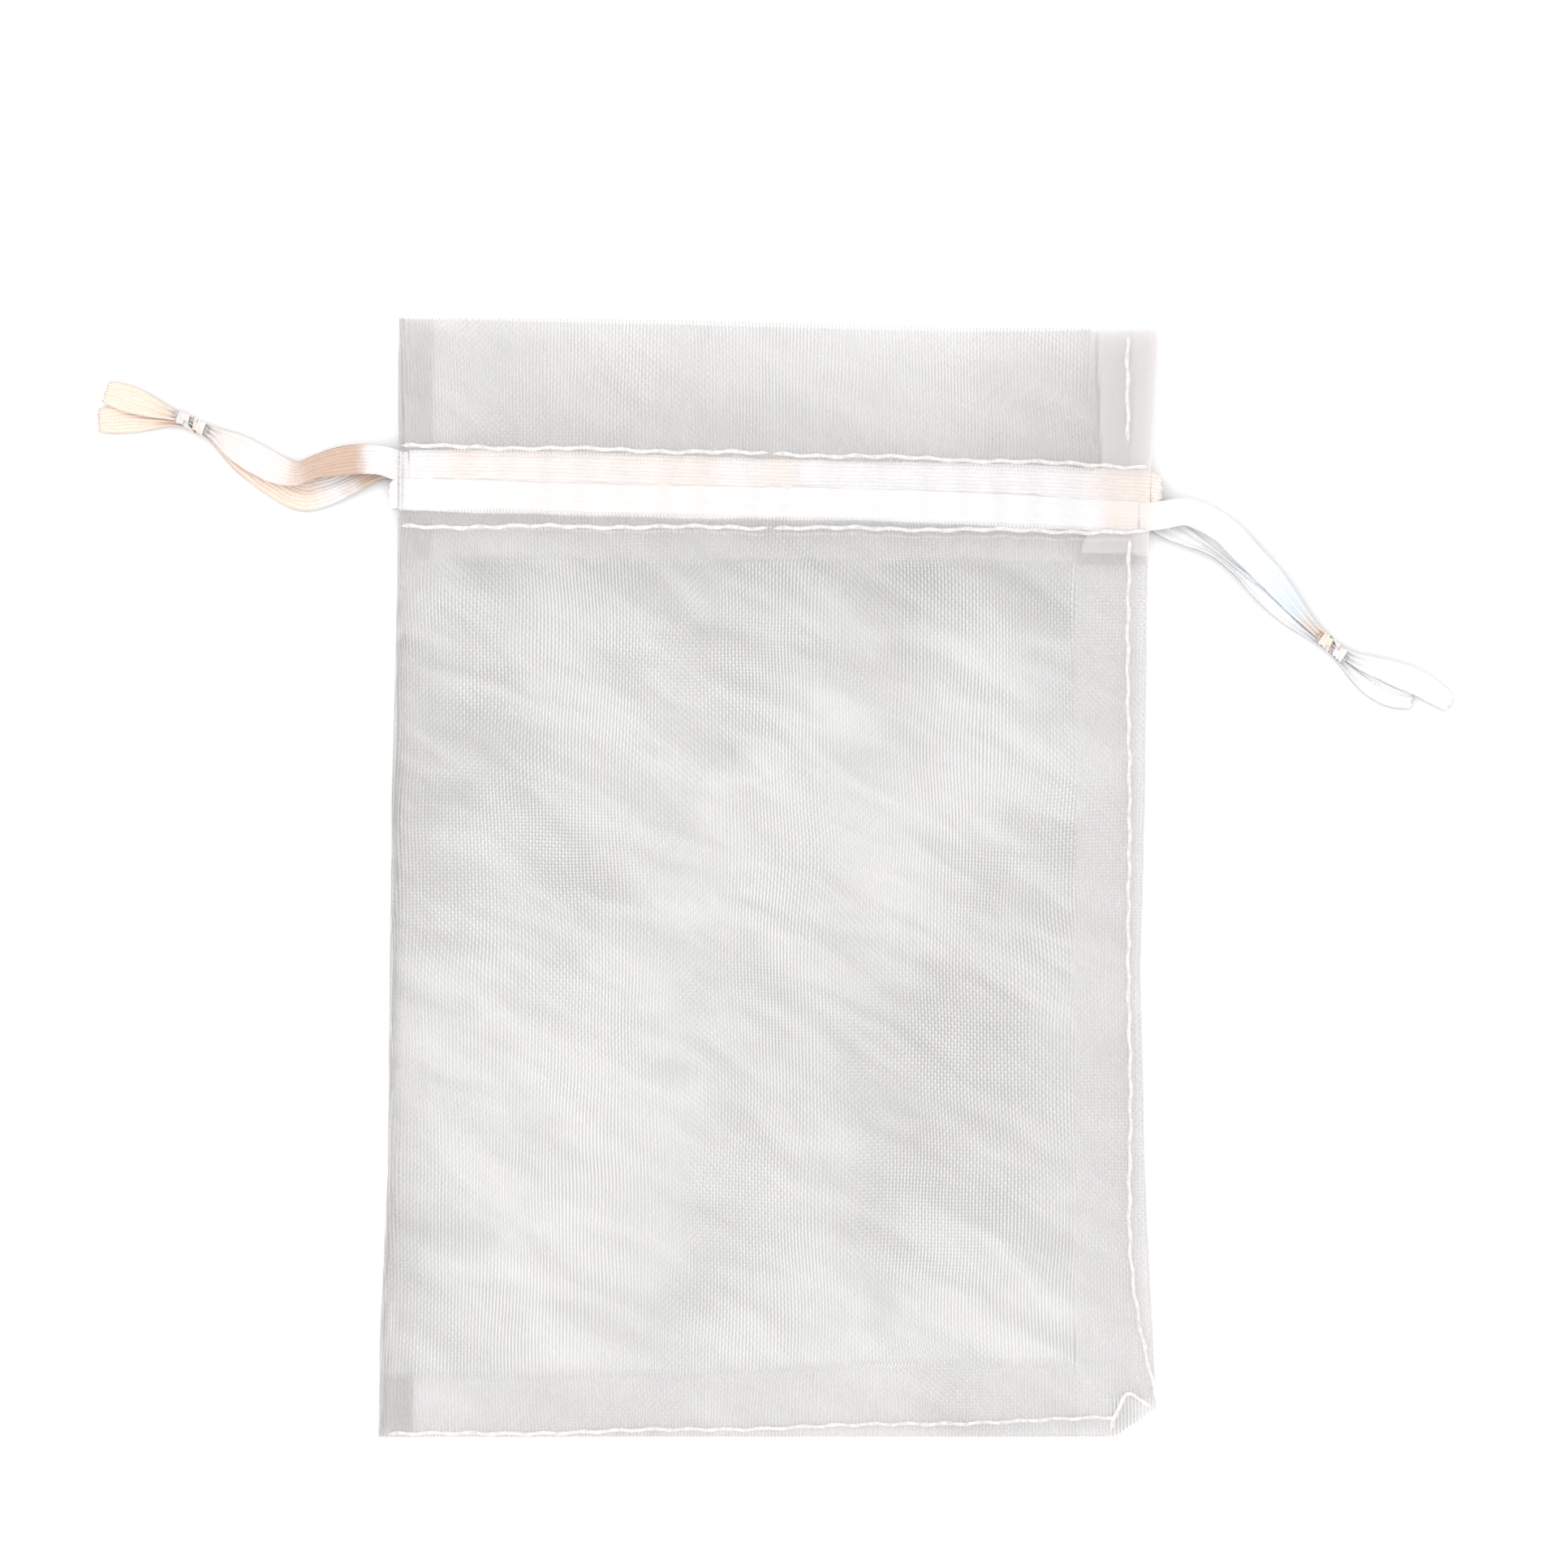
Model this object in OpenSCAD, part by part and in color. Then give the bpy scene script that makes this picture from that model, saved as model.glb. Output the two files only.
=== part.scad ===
// Drawstring gift pouch of sheer organza, lying flat with its mouth towards +Y.
// The origin is the middle of the pouch's footprint, on the surface it lies on.
// The cloth is folded at the left side and sewn down the right side and along the bottom.
// A deep hem at the mouth holds two ribbons, which leave the neck on opposite sides.

/* [Pouch] */
// Height of the pouch, from its bottom edge to the tip of its mouth
pouch_height = 146.8; // [140:0.1:155]
// Half of the width at the widest places, the bottom left and top right corners
half_width = 51.2; // [50.8:0.1:53]
// Height to which the front panel stands off the back panel in the middle
loft_height = 6.4; // [5.6:0.1:9]
// Thickness of each ply of cloth
cloth_thickness = 0.3; // [0.2:0.05:0.3]

/* [Seams and hem] */
// Distance from the mouth to the raw edge of the hem, at the left side
hem_depth = 31.8; // [31:0.1:32.4]
// Distance from the mouth to the upper row of stitches, at the left side
upper_row_drop = 16.8; // [16.5:0.1:17]
// Distance from the mouth to the lower row of stitches, at the left side
lower_row_drop = 27.4; // [27.2:0.1:28]
// Width of the seam allowance down the right side
side_allowance_width = 9.4; // [6:0.1:12]
// Height of the seam allowance along the bottom
bottom_allowance_height = 8.6; // [6:0.1:12]
// Width of a row of stitches
stitch_width = 0.5; // [0.3:0.1:0.6]

/* [Ribbons] */
// Width of each ribbon
ribbon_width = 3.4; // [2.5:0.1:3.5]
// Thickness of each ribbon
ribbon_thickness = 0.3; // [0.2:0.05:0.35]
// Height of the channel that a ribbon runs in
channel_height = 0.6; // [0.5:0.05:0.8]
// Length of each knot
knot_length = 4.8; // [4:0.1:6]
// Width of each knot
knot_width = 2.6; // [2:0.1:3]

/* [Hidden] */

cloth = [0.93, 0.92, 0.91];
thread = "white";
peach = [0.98, 0.88, 0.80];
pearl = [0.95, 0.96, 0.98];

base_y = -pouch_height / 2;
mouth_y = pouch_height / 2;
// Each side's x at a few heights, since the pouch was not cut quite square
left_side = [
    [base_y, -half_width], [-60, -51], [-39, -50], [9, -49.5], [41, -48.7], [mouth_y, -48.5]
];
right_side = [
    [base_y, 51], [-64, 50.6], [-39, 49.4], [-12, 48.8], [9, 49.4], [41, 49.7],
    [56, 50.2], [mouth_y, half_width]
];
// The mouth's y, from the left side across to the right
mouth_line = [[0, mouth_y], [0.35, mouth_y - 0.7], [0.75, mouth_y - 1.7], [1, mouth_y - 1.5]];
// The bottom edge's y, which turns up where the last corner is folded over
corner_fold_start = 0.944;
corner_fold_rise = 3.7;
base_line = [[0, base_y], [corner_fold_start, base_y], [1, base_y + corner_fold_rise]];

// Rows and ribbons drop a little towards the right side, by this much in the full width
row_drop = 2.8;
upper_row_y = mouth_y - upper_row_drop;
lower_row_y = mouth_y - lower_row_drop;
lower_row_slope = 0.8;
hem_edge_y = mouth_y - hem_depth;
hem_edge_slope = 0.6;
left_lane_y = 54;
right_lane_y = 50.2;

// Levels, from the surface up: back panel, channel, back hem, front hem, channel, front panel
back_channel_z = cloth_thickness;
back_hem_z = back_channel_z + channel_height;
front_hem_z = back_hem_z + cloth_thickness;
front_channel_z = front_hem_z + cloth_thickness;
neck_panel_z = front_channel_z + channel_height;
body_panel_z = 3 * cloth_thickness;
// Clearance of a ribbon above and below, in its channel
ribbon_gap = (channel_height - ribbon_thickness) / 2;
// Clearance that keeps arched pieces from cutting into each other
arch_gap = 0.02;
// The mouth's fold stands this far behind its tip, and is this wide
fold_inset = 0.4;
fold_width = 0.8;
// Places of the two seams, from the right edge and from the bottom edge
side_seam_inset = 2.8;
bottom_seam_inset = 1.2;
// The front panel climbs over the hem between these two heights
climb_start_y = hem_edge_y - 6;
climb_end_y = hem_edge_y - 0.6;
// The seams of the body stop this far below the climb
body_top_gap = 0.6;

// The front panel lies flat along a narrow rim and is raised inside it
rim = 0.01;
rim_width = 1.2;
rise_length = 46;
crown_power = 2.4;
across_steps = [
    0, 0.01, 0.03, 0.06, 0.1, 0.15, 0.21, 0.28, 0.36, 0.45,
    0.55, 0.64, 0.72, 0.79, 0.85, 0.9, 0.94, 0.97, 0.99, 1
];
up_steps = [
    0, 0.008, 0.025, 0.05, 0.08, 0.12, 0.17, 0.23, 0.3, 0.38, 0.47,
    0.56, 0.64, 0.7, 0.74, 0.758, 0.776, 0.82, 0.88, 0.94, 1
];

// Routes of the ribbons' free ends, from the edge of the neck to the cut end
left_front_route = [
    [-48.5, 54, 1.8], [-51, 54.8, 1.8], [-55, 54.8, 1.6], [-59, 54, 1.5], [-62, 53, 1.4],
    [-65, 53.8, 1.2], [-69, 56, 1.1], [-73, 58.4, 1], [-76, 60, 1], [-79, 61, 1],
    [-83, 62.5, 0.9], [-87, 63.8, 0.8]
];
left_back_route = [
    [-48.5, 54, 0.6], [-51.5, 53.6, 0.5], [-55, 52, 0.4], [-58.5, 50.6, 0.3], [-61.5, 50.2, 0.3],
    [-65, 52, 0.3], [-69, 55, 0.3], [-73, 58, 0.3], [-76, 59.4, 0.3], [-79, 60, 0.3],
    [-84, 60.2, 0.3], [-88, 60, 0.3]
];
right_front_route = [
    [50.2, 47.4, 1.8], [52, 47.6, 1.8], [54.5, 48, 1.7], [57, 47.2, 1.5], [60, 45.4, 1.3],
    [62.5, 42.8, 1.2], [66, 39.2, 1.1], [69, 35.6, 1], [71.5, 32.8, 1], [74, 30.5, 1],
    [77, 28.6, 1], [81, 27.2, 0.9], [85.5, 25.4, 0.8], [89.5, 22.8, 0.8]
];
right_back_route = [
    [50.2, 47.4, 0.6], [52.5, 46, 0.5], [55, 44.6, 0.4], [58, 42.8, 0.3], [61, 40.4, 0.3],
    [64.5, 37.6, 0.3], [67.5, 35, 0.3], [70.5, 32.4, 0.3], [73.5, 30.2, 0.3], [76, 28, 0.3],
    [79, 25.4, 0.3], [82, 23.8, 0.3], [84.5, 23.4, 0.3]
];
// Half of a free end's height at its middle, as a share of the ribbon's thickness
end_bulge = 0.6;
// A turn is tucked this far into the ends of its ribbon's runs
turn_tuck = 0.05;
// Radius of a knot's core as a share of its width, and of its outer lumps as a share of the core's
knot_core_share = 0.38;
knot_lump_share = 0.8;
left_knot_centre = [-75.8, 59.7, 1];
left_knot_angle = 152;
right_knot_centre = [74, 30.3, 1];
right_knot_angle = -42;

function clamp(t) = min(1, max(0, t));
function smooth(t) = t * t * (3 - 2 * t);

function side_x(u, y) = lookup(y, left_side) * (1 - u) + lookup(y, right_side) * u;
function mouth_at(u) = lookup(u, mouth_line);
function base_at(u) = lookup(u, base_line);

// How far the front panel is raised, at a share u of the width and a height y
function crown(u) = 1 - pow(abs(2 * clamp((u - rim) / (1 - 2 * rim)) - 1), crown_power);
function rise(u, y) = 1 - pow(1 - clamp((y - base_at(u) - rim_width) / rise_length), 2);
function loft(u, y) = loft_height * crown(u) * rise(u, y);
function climb(y) = smooth(clamp((y - climb_start_y) / (climb_end_y - climb_start_y)));
function panel_z(y) = body_panel_z + (neck_panel_z - body_panel_z) * climb(y);

// y of a line that crosses the pouch and drops towards the right side
function row(y, u, drop = row_drop) = y - drop * u;

// Triangles that close a block of two grids, the lower and then the upper
function grid_faces(columns, rows) =
    let (
        layer = columns * rows,
        at = function(k, i, j) k * layer + i * rows + j
    )
    [
        for (i = [0 : columns - 2], j = [0 : rows - 2]) each [
            [at(0, i, j), at(0, i, j + 1), at(0, i + 1, j + 1)],
            [at(0, i, j), at(0, i + 1, j + 1), at(0, i + 1, j)],
            [at(1, i, j), at(1, i + 1, j + 1), at(1, i, j + 1)],
            [at(1, i, j), at(1, i + 1, j), at(1, i + 1, j + 1)]
        ],
        for (i = [0 : columns - 2], j = [0, rows - 1])
            let (a = j == 0 ? i : i + 1, b = j == 0 ? i + 1 : i)
            each [
                [at(0, a, j), at(0, b, j), at(1, b, j)],
                [at(0, a, j), at(1, b, j), at(1, a, j)]
            ],
        for (j = [0 : rows - 2], i = [0, columns - 1])
            let (a = i == 0 ? j + 1 : j, b = i == 0 ? j : j + 1)
            each [
                [at(0, i, a), at(0, i, b), at(1, i, b)],
                [at(0, i, a), at(1, i, b), at(1, i, a)]
            ]
    ];

// A block that follows the front's arch, between the lines low(u) and high(u)
module arched_block(low, high, bottom, thickness, rows = [0, 1]) {
    points = [
        for (layer = [0, 1], u = across_steps, v = rows)
            let (y = low(u) * (1 - v) + high(u) * v)
            [side_x(u, y), y, bottom(y) + loft(u, y) + layer * thickness]
    ];
    polyhedron(points, grid_faces(len(across_steps), len(rows)), convexity = 6);
}

// A flat block between the lines low(u) and high(u), from u = from to u = to
module flat_block(low, high, z, thickness, from = 0, to = 1) {
    steps = [from, for (u = across_steps) if (u > from && u < to) u, to];
    count = len(steps);
    outline = [
        for (u = steps) [side_x(u, low(u)), low(u)],
        for (i = [1 : count]) let (u = steps[count - i]) [side_x(u, high(u)), high(u)]
    ];
    translate([0, 0, z])
        linear_extrude(thickness) polygon(outline);
}

// The two long edges of a band of the given width about a centre line
function below(line, width) = function(u) line(u) - width / 2;
function above(line, width) = function(u) line(u) + width / 2;

module front_band(line, width, z, thickness) {
    arched_block(below(line, width), above(line, width), function(y) z, thickness);
}

module back_band(line, width, z, thickness) {
    flat_block(below(line, width), above(line, width), z, thickness);
}

// A flat ribbon swept along a route, as wide as it is and lying level
module ribbon_sweep(route) {
    sides = 8;
    last = len(route) - 1;
    points = [
        for (i = [0 : last])
            let (
                ahead = route[min(i + 1, last)] - route[max(i - 1, 0)],
                side = [-ahead.y, ahead.x, 0] / norm([ahead.x, ahead.y])
            )
            for (k = [0 : sides - 1])
                let (angle = 360 * k / sides)
                route[i] + side * ribbon_width / 2 * cos(angle)
                    + [0, 0, ribbon_thickness * end_bulge * sin(angle)]
    ];
    walls = [
        for (i = [0 : last - 1], k = [0 : sides - 1])
            let (a = i * sides + k, b = i * sides + (k + 1) % sides)
            each [[a, b, b + sides], [a, b + sides, a + sides]]
    ];
    ends = [
        [for (k = [sides - 1 : -1 : 0]) k],
        [for (k = [0 : sides - 1]) last * sides + k]
    ];
    polyhedron(points, concat(walls, ends), convexity = 4);
}

// The half loop in which a ribbon goes round the edge of the neck, from front to back
module ribbon_turn(x, y, towards) {
    middle_z = (back_channel_z + neck_panel_z) / 2;
    outer = neck_panel_z - ribbon_gap - middle_z;
    translate([x, y + ribbon_width / 2, middle_z])
        rotate([90, 0, 0])
            linear_extrude(ribbon_width)
                difference() {
                    circle(outer, $fn = 48);
                    circle(outer - ribbon_thickness, $fn = 48);
                    translate([towards > 0 ? -2 * outer : 0, -outer])
                        square([2 * outer, 2 * outer]);
                }
}

module knot(centre, angle) {
    core = knot_width * knot_core_share;
    lump = core * knot_lump_share;
    reach = knot_length / 2 - lump;
    translate(centre)
        rotate([0, 0, angle])
            hull() {
                sphere(core, $fn = 24);
                for (side = [-1, 1]) {
                    translate([side * reach, 0, 0])
                        sphere(lump, $fn = 20);
                    translate([0, side * (knot_width / 2 - lump), 0])
                        sphere(lump, $fn = 20);
                }
            }
}

// Centre lines of the rows of stitches and of the two ribbons' lanes
upper_row = function(u) row(upper_row_y, u);
lower_row = function(u) row(lower_row_y, u, lower_row_slope);
left_lane = function(u) row(left_lane_y, u);
right_lane = function(u) row(right_lane_y, u);
// Edges of the hem, the panels and the seam allowances
raw_edge = function(u) row(hem_edge_y, u, hem_edge_slope);
hem_top = function(u) mouth_at(u) - fold_inset;
fold_line = function(u) mouth_at(u) - fold_inset - fold_width / 2;
mouth_edge = function(u) mouth_at(u);
base_edge = function(u) base_at(u);
body_top = function(u) climb_start_y - body_top_gap;

module front_panel() {
    color(cloth)
        arched_block(base_edge, mouth_edge, function(y) panel_z(y), cloth_thickness, up_steps);
}

module back_panel() {
    color(cloth)
        flat_block(base_edge, mouth_edge, 0, cloth_thickness);
}

// The fold that joins the two panels down the left side
module side_fold() {
    color(cloth)
        flat_block(
            function(u) base_at(u) + bottom_allowance_height, body_top,
            cloth_thickness, body_panel_z - cloth_thickness, 0, rim
        );
}

module front_hem() {
    color(cloth) {
        arched_block(raw_edge, hem_top, function(y) front_hem_z, cloth_thickness);
        front_band(
            fold_line, fold_width, front_channel_z + arch_gap, channel_height - 2 * arch_gap
        );
    }
}

module back_hem() {
    color(cloth) {
        flat_block(raw_edge, hem_top, back_hem_z, cloth_thickness);
        back_band(fold_line, fold_width, back_channel_z, channel_height);
    }
}

// One of the two plies of the seam allowance down the right side
module side_allowance(ply) {
    flat_block(
        function(u) base_at(u) + bottom_allowance_height, body_top,
        cloth_thickness * ply, cloth_thickness, 1 - side_allowance_width / (2 * half_width), 1
    );
}

module front_side_allowance() {
    color(cloth) side_allowance(2);
}

module back_side_allowance() {
    color(cloth) side_allowance(1);
}

// One of the two plies of the seam allowance along the bottom
module bottom_allowance(ply) {
    flat_block(
        function(u) base_at(u) + bottom_seam_inset + stitch_width,
        function(u) base_at(u) + bottom_allowance_height, cloth_thickness * ply, cloth_thickness
    );
}

module front_bottom_allowance() {
    color(cloth) bottom_allowance(2);
}

module back_bottom_allowance() {
    color(cloth) bottom_allowance(1);
}

// The seam down the right side, between its allowance and the front panel
module side_seam_thread() {
    middle = 1 - side_seam_inset / (2 * half_width);
    reach = stitch_width / (4 * half_width);
    color(thread)
        flat_block(
            function(u) base_at(u) + bottom_allowance_height, body_top,
            body_panel_z, cloth_thickness, middle - reach, middle + reach
        );
}

// The seam that joins the two panels along the bottom
module bottom_seam_thread() {
    color(thread)
        flat_block(
            function(u) base_at(u) + bottom_seam_inset - stitch_width,
            function(u) base_at(u) + bottom_seam_inset,
            cloth_thickness, body_panel_z - cloth_thickness, rim, 1 - rim
        );
}

// A row of stitches that holds the front hem to the front panel
module front_row(line) {
    color(thread)
        front_band(
            line, stitch_width, front_channel_z + arch_gap, channel_height - 2 * arch_gap
        );
}

// A row of stitches that holds the back hem to the back panel
module back_row(line) {
    color(thread)
        back_band(line, stitch_width, back_channel_z, channel_height);
}

module front_upper_stitches() {
    front_row(upper_row);
}

module front_lower_stitches() {
    front_row(lower_row);
}

module back_upper_stitches() {
    back_row(upper_row);
}

module back_lower_stitches() {
    back_row(lower_row);
}

module left_ribbon_front_run() {
    color(peach)
        front_band(left_lane, ribbon_width, front_channel_z + ribbon_gap, ribbon_thickness);
}

module left_ribbon_back_run() {
    color(peach)
        back_band(left_lane, ribbon_width, back_channel_z + ribbon_gap, ribbon_thickness);
}

module left_ribbon_turn() {
    color(peach)
        ribbon_turn(side_x(1, left_lane(1)) - turn_tuck, left_lane(1), 1);
}

module left_ribbon_front_end() {
    color(peach) ribbon_sweep(left_front_route);
}

module left_ribbon_back_end() {
    color(peach) ribbon_sweep(left_back_route);
}

module left_knot() {
    color(peach) knot(left_knot_centre, left_knot_angle);
}

module right_ribbon_front_run() {
    color(pearl)
        front_band(right_lane, ribbon_width, front_channel_z + ribbon_gap, ribbon_thickness);
}

module right_ribbon_back_run() {
    color(pearl)
        back_band(right_lane, ribbon_width, back_channel_z + ribbon_gap, ribbon_thickness);
}

module right_ribbon_turn() {
    color(pearl)
        ribbon_turn(side_x(0, right_lane(0)) + turn_tuck, right_lane(0), -1);
}

module right_ribbon_front_end() {
    color(pearl) ribbon_sweep(right_front_route);
}

module right_ribbon_back_end() {
    color(pearl) ribbon_sweep(right_back_route);
}

module right_knot() {
    color(pearl) knot(right_knot_centre, right_knot_angle);
}

front_panel();
back_panel();
side_fold();
front_hem();
back_hem();
front_side_allowance();
back_side_allowance();
front_bottom_allowance();
back_bottom_allowance();
side_seam_thread();
bottom_seam_thread();
front_upper_stitches();
front_lower_stitches();
back_upper_stitches();
back_lower_stitches();
left_ribbon_front_run();
left_ribbon_back_run();
left_ribbon_turn();
left_ribbon_front_end();
left_ribbon_back_end();
left_knot();
right_ribbon_front_run();
right_ribbon_back_run();
right_ribbon_turn();
right_ribbon_front_end();
right_ribbon_back_end();
right_knot();
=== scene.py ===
"""Drawstring gift pouch: sheer organza, sewn seams and two satin ribbons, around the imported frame.

Lengths inside the making functions are in millimetres of the shared frame, and meshes are written in metres.
"""

import math

import bpy
import numpy as np
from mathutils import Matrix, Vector, noise


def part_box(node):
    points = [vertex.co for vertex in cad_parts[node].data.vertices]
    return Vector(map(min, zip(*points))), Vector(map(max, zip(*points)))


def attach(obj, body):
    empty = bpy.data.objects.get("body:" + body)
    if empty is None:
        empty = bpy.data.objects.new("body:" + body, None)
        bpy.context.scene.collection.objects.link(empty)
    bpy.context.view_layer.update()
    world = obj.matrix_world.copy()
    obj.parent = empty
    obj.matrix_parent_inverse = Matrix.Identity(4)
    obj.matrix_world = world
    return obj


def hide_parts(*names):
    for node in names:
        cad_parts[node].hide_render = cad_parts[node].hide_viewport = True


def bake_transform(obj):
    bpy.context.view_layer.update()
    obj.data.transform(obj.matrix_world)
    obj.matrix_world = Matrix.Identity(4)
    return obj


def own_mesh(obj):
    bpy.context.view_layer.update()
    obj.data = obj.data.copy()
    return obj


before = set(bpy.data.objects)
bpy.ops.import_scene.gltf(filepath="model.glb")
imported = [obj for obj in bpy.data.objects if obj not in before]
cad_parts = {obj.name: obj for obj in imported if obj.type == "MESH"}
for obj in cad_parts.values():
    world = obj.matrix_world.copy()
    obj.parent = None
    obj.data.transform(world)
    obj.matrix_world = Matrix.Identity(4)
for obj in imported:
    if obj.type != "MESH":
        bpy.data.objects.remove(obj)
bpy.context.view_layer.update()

bl_info = {
    "name": "Organza Drawstring Pouch",
    "version": (1, 0, 0),
    "blender": (4, 5, 0),
    "location": "3D View > Sidebar > Pouch",
    "description": "Makes the cloth, seams and ribbons of a sheer drawstring pouch",
    "category": "Add Mesh",
}

MM = 0.001


def cad_box_mm(node):
    """Lowest and highest corners of a CAD node at rest, in millimetres."""
    return np.array(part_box(node)) / MM


# ---------------------------------------------------------------- the pouch's plan

(PANEL_LOW, PANEL_HIGH) = cad_box_mm("back_panel")
BASE_Y = PANEL_LOW[1]
TIP_Y = PANEL_HIGH[1]
HALF_WIDTH = PANEL_HIGH[0]
CLOTH_TOP = PANEL_HIGH[2]
# The halves of the cloth meet on this line, which each ribbon gathers its own half towards
MIDDLE_X = 0.6
# Height of the neck, where the body of the pouch ends and the frill starts
NECK_Y = 51.0

LEFT_SIDE = np.array([(-73.4, -51.2), (-60, -51), (-39, -50), (9, -49.5), (41, -48.7), (73.4, -48.5)])
RIGHT_SIDE = np.array([
    (-73.4, 51), (-64, 50.6), (-39, 49.4), (-12, 48.8), (9, 49.4), (41, 49.7), (56, 50.2), (73.4, 51.2)
])
MOUTH_LINE = np.array([(0, 0), (0.35, -0.7), (0.75, -1.7), (1, -1.5)])
CORNER_FOLD_START = 0.944
CORNER_FOLD_RISE = 3.7

# Levels of the plies, from the CAD nodes that hold them
HALF_CAD_RIBBON = 0.15
NECK_RISE = 0.45
BACK_Z = CLOTH_TOP / 2
BACK_HEM_Z = cad_box_mm("back_hem")[1][2] - CLOTH_TOP / 2
FRONT_HEM_Z = cad_box_mm("front_hem")[0][2] + CLOTH_TOP / 2
RIBBON_FRONT_Z = cad_box_mm("left_ribbon_front_run")[0][2] + HALF_CAD_RIBBON
RIBBON_BACK_Z = cad_box_mm("left_ribbon_back_run")[0][2] + HALF_CAD_RIBBON
BODY_Z = cad_box_mm("front_panel")[0][2] + CLOTH_TOP / 2
NECK_Z = RIBBON_FRONT_Z + NECK_RISE
LOFT = cad_box_mm("left_ribbon_front_run")[1][2] - RIBBON_FRONT_Z - HALF_CAD_RIBBON
CLIMB_START_Y = 35.6
CLIMB_END_Y = 41.0
# The loft starts in from both sides by RIM of the width, and above the base by RISE_START
RIM = 0.01
RISE_START = 1.2
RISE_LENGTH = 46.0
CROWN_POWER = 2.4

# Rows of stitches and edges: y at the left side, and how far each drops by the right side
UPPER_ROW = (56.6, 2.8)
LOWER_ROW = (46.0, 0.8)
HEM_EDGE = (41.7, 0.7)
LEFT_LANE = (54.0, 2.8)
RIGHT_LANE = (50.2, 2.8)
SIDE_SEAM_X = 47.1
ALLOWANCE_X = 40.0
# The bottom allowance: its height at the left, how much it gains by the right, and its slanting cut
BOTTOM_ALLOWANCE = 7.5
BOTTOM_GAIN = 3.0
CUT_HEIGHT = 10.4
CUT_START_X = 38.7
CUT_SLOPE = 1.15


def smooth(t):
    t = np.clip(t, 0, 1)
    return t * t * (3 - 2 * t)


def left_x(y):
    return np.interp(y, LEFT_SIDE[:, 0], LEFT_SIDE[:, 1])


def right_x(y):
    return np.interp(y, RIGHT_SIDE[:, 0], RIGHT_SIDE[:, 1])


def x_at(u, y):
    """x at a share u of the width; the middle line is straight, so the two halves meet on it."""
    left, right = left_x(y), right_x(y)
    return np.where(
        u < 0.5, left + (MIDDLE_X - left) * 2 * u, MIDDLE_X + (right - MIDDLE_X) * (2 * u - 1)
    )


def mouth_y(u):
    return TIP_Y + np.interp(u, MOUTH_LINE[:, 0], MOUTH_LINE[:, 1])


def base_y(u):
    return BASE_Y + CORNER_FOLD_RISE * np.clip((u - CORNER_FOLD_START) / (1 - CORNER_FOLD_START), 0, 1)


def row_y(row, u):
    return row[0] - row[1] * u


def loft(u, y):
    """How far the front stands off the back."""
    inner = np.clip((u - RIM) / (1 - 2 * RIM), 0, 1)
    crown = 1 - np.abs(2 * inner - 1) ** CROWN_POWER
    rise = 1 - (1 - np.clip((y - base_y(u) - RISE_START) / RISE_LENGTH, 0, 1)) ** 2
    return LOFT * crown * rise


def fractal(x, y, size, seed, octaves=3):
    """Smooth noise at each point, about -1 to 1, with features of the given size."""
    points = np.stack(np.broadcast_arrays(x / size, y / size), -1).reshape(-1, 2)
    values = [noise.fractal(Vector((a, b, seed)), 1.0, 2.0, octaves) for a, b in points.tolist()]
    return np.array(values).reshape(np.shape(x))


def edge_fade(u, y, width=6.0):
    """0 along the sides and the base, 1 further in than width."""
    x = x_at(u, y)
    inset = np.minimum(x - left_x(y), right_x(y) - x)
    return smooth(inset / width) * smooth((y - base_y(u)) / width)


# Heights of the front's folds, and the lengths of the slanting waves and of the neck's pleats
BODY_WAVE = 0.30
BODY_RIPPLE = 0.22
NECK_PLEAT = 0.16
FRILL_WAVE = 0.35
WAVE_LENGTH = 15.0
PLEAT_LENGTH = 5.4
BACK_WAVE = 0.10


def front_wrinkles(u, y):
    """Soft folds that the front's plies share: slanting waves in the body, and pleats at the neck."""
    x = x_at(u, y)
    bend = fractal(x, y, 34.0, 3.1, 2)
    slant = np.sin((x * 0.34 + y * 0.94) / WAVE_LENGTH * 2 * math.pi + 3.0 * bend)
    body = BODY_WAVE * slant * (0.4 + 0.6 * smooth((30 - y) / 50))
    body += BODY_RIPPLE * fractal(x, y, 17.0, 7.7, 3)
    at_neck = np.exp(-((y - NECK_Y) / 16.0) ** 2)
    turns = x / PLEAT_LENGTH * 2 * math.pi + 2.2 * fractal(x, y, 12.0, 5.3, 2)
    pleats = NECK_PLEAT * np.sin(turns) * at_neck
    frill = FRILL_WAVE * fractal(x, y * 0.35, 11.0, 9.4, 3) * smooth((y - NECK_Y - 4) / 12)
    return (body * (1 - 0.6 * at_neck) + pleats + frill) * edge_fade(u, y)


def back_wrinkles(u, y):
    x = x_at(u, y)
    return BACK_WAVE * (1 + fractal(x, y, 14.0, 12.6, 3)) * edge_fade(u, y)


def front_z(u, y):
    level = BODY_Z + (NECK_Z - BODY_Z) * smooth((y - CLIMB_START_Y) / (CLIMB_END_Y - CLIMB_START_Y))
    return level + loft(u, y) + front_wrinkles(u, y)


def allowance_edge(y):
    """Inner edge of the side allowance, which is narrower inside the hem."""
    return ALLOWANCE_X + 2.4 * smooth((y - HEM_EDGE[0]) / 8) + 0.25 * np.sin(y / 7.0)


def allowance_top(x):
    """Upper edge of the bottom allowance, cut off aslant next to the side allowance."""
    share = (x + HALF_WIDTH) / (2 * HALF_WIDTH)
    top = BASE_Y + BOTTOM_ALLOWANCE + BOTTOM_GAIN * share + 0.25 * np.sin(x / 9.0)
    return np.minimum(top, BASE_Y + CUT_HEIGHT - (x - CUT_START_X) * CUT_SLOPE)


# ---------------------------------------------------------------- how pale the cloth shows

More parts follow.
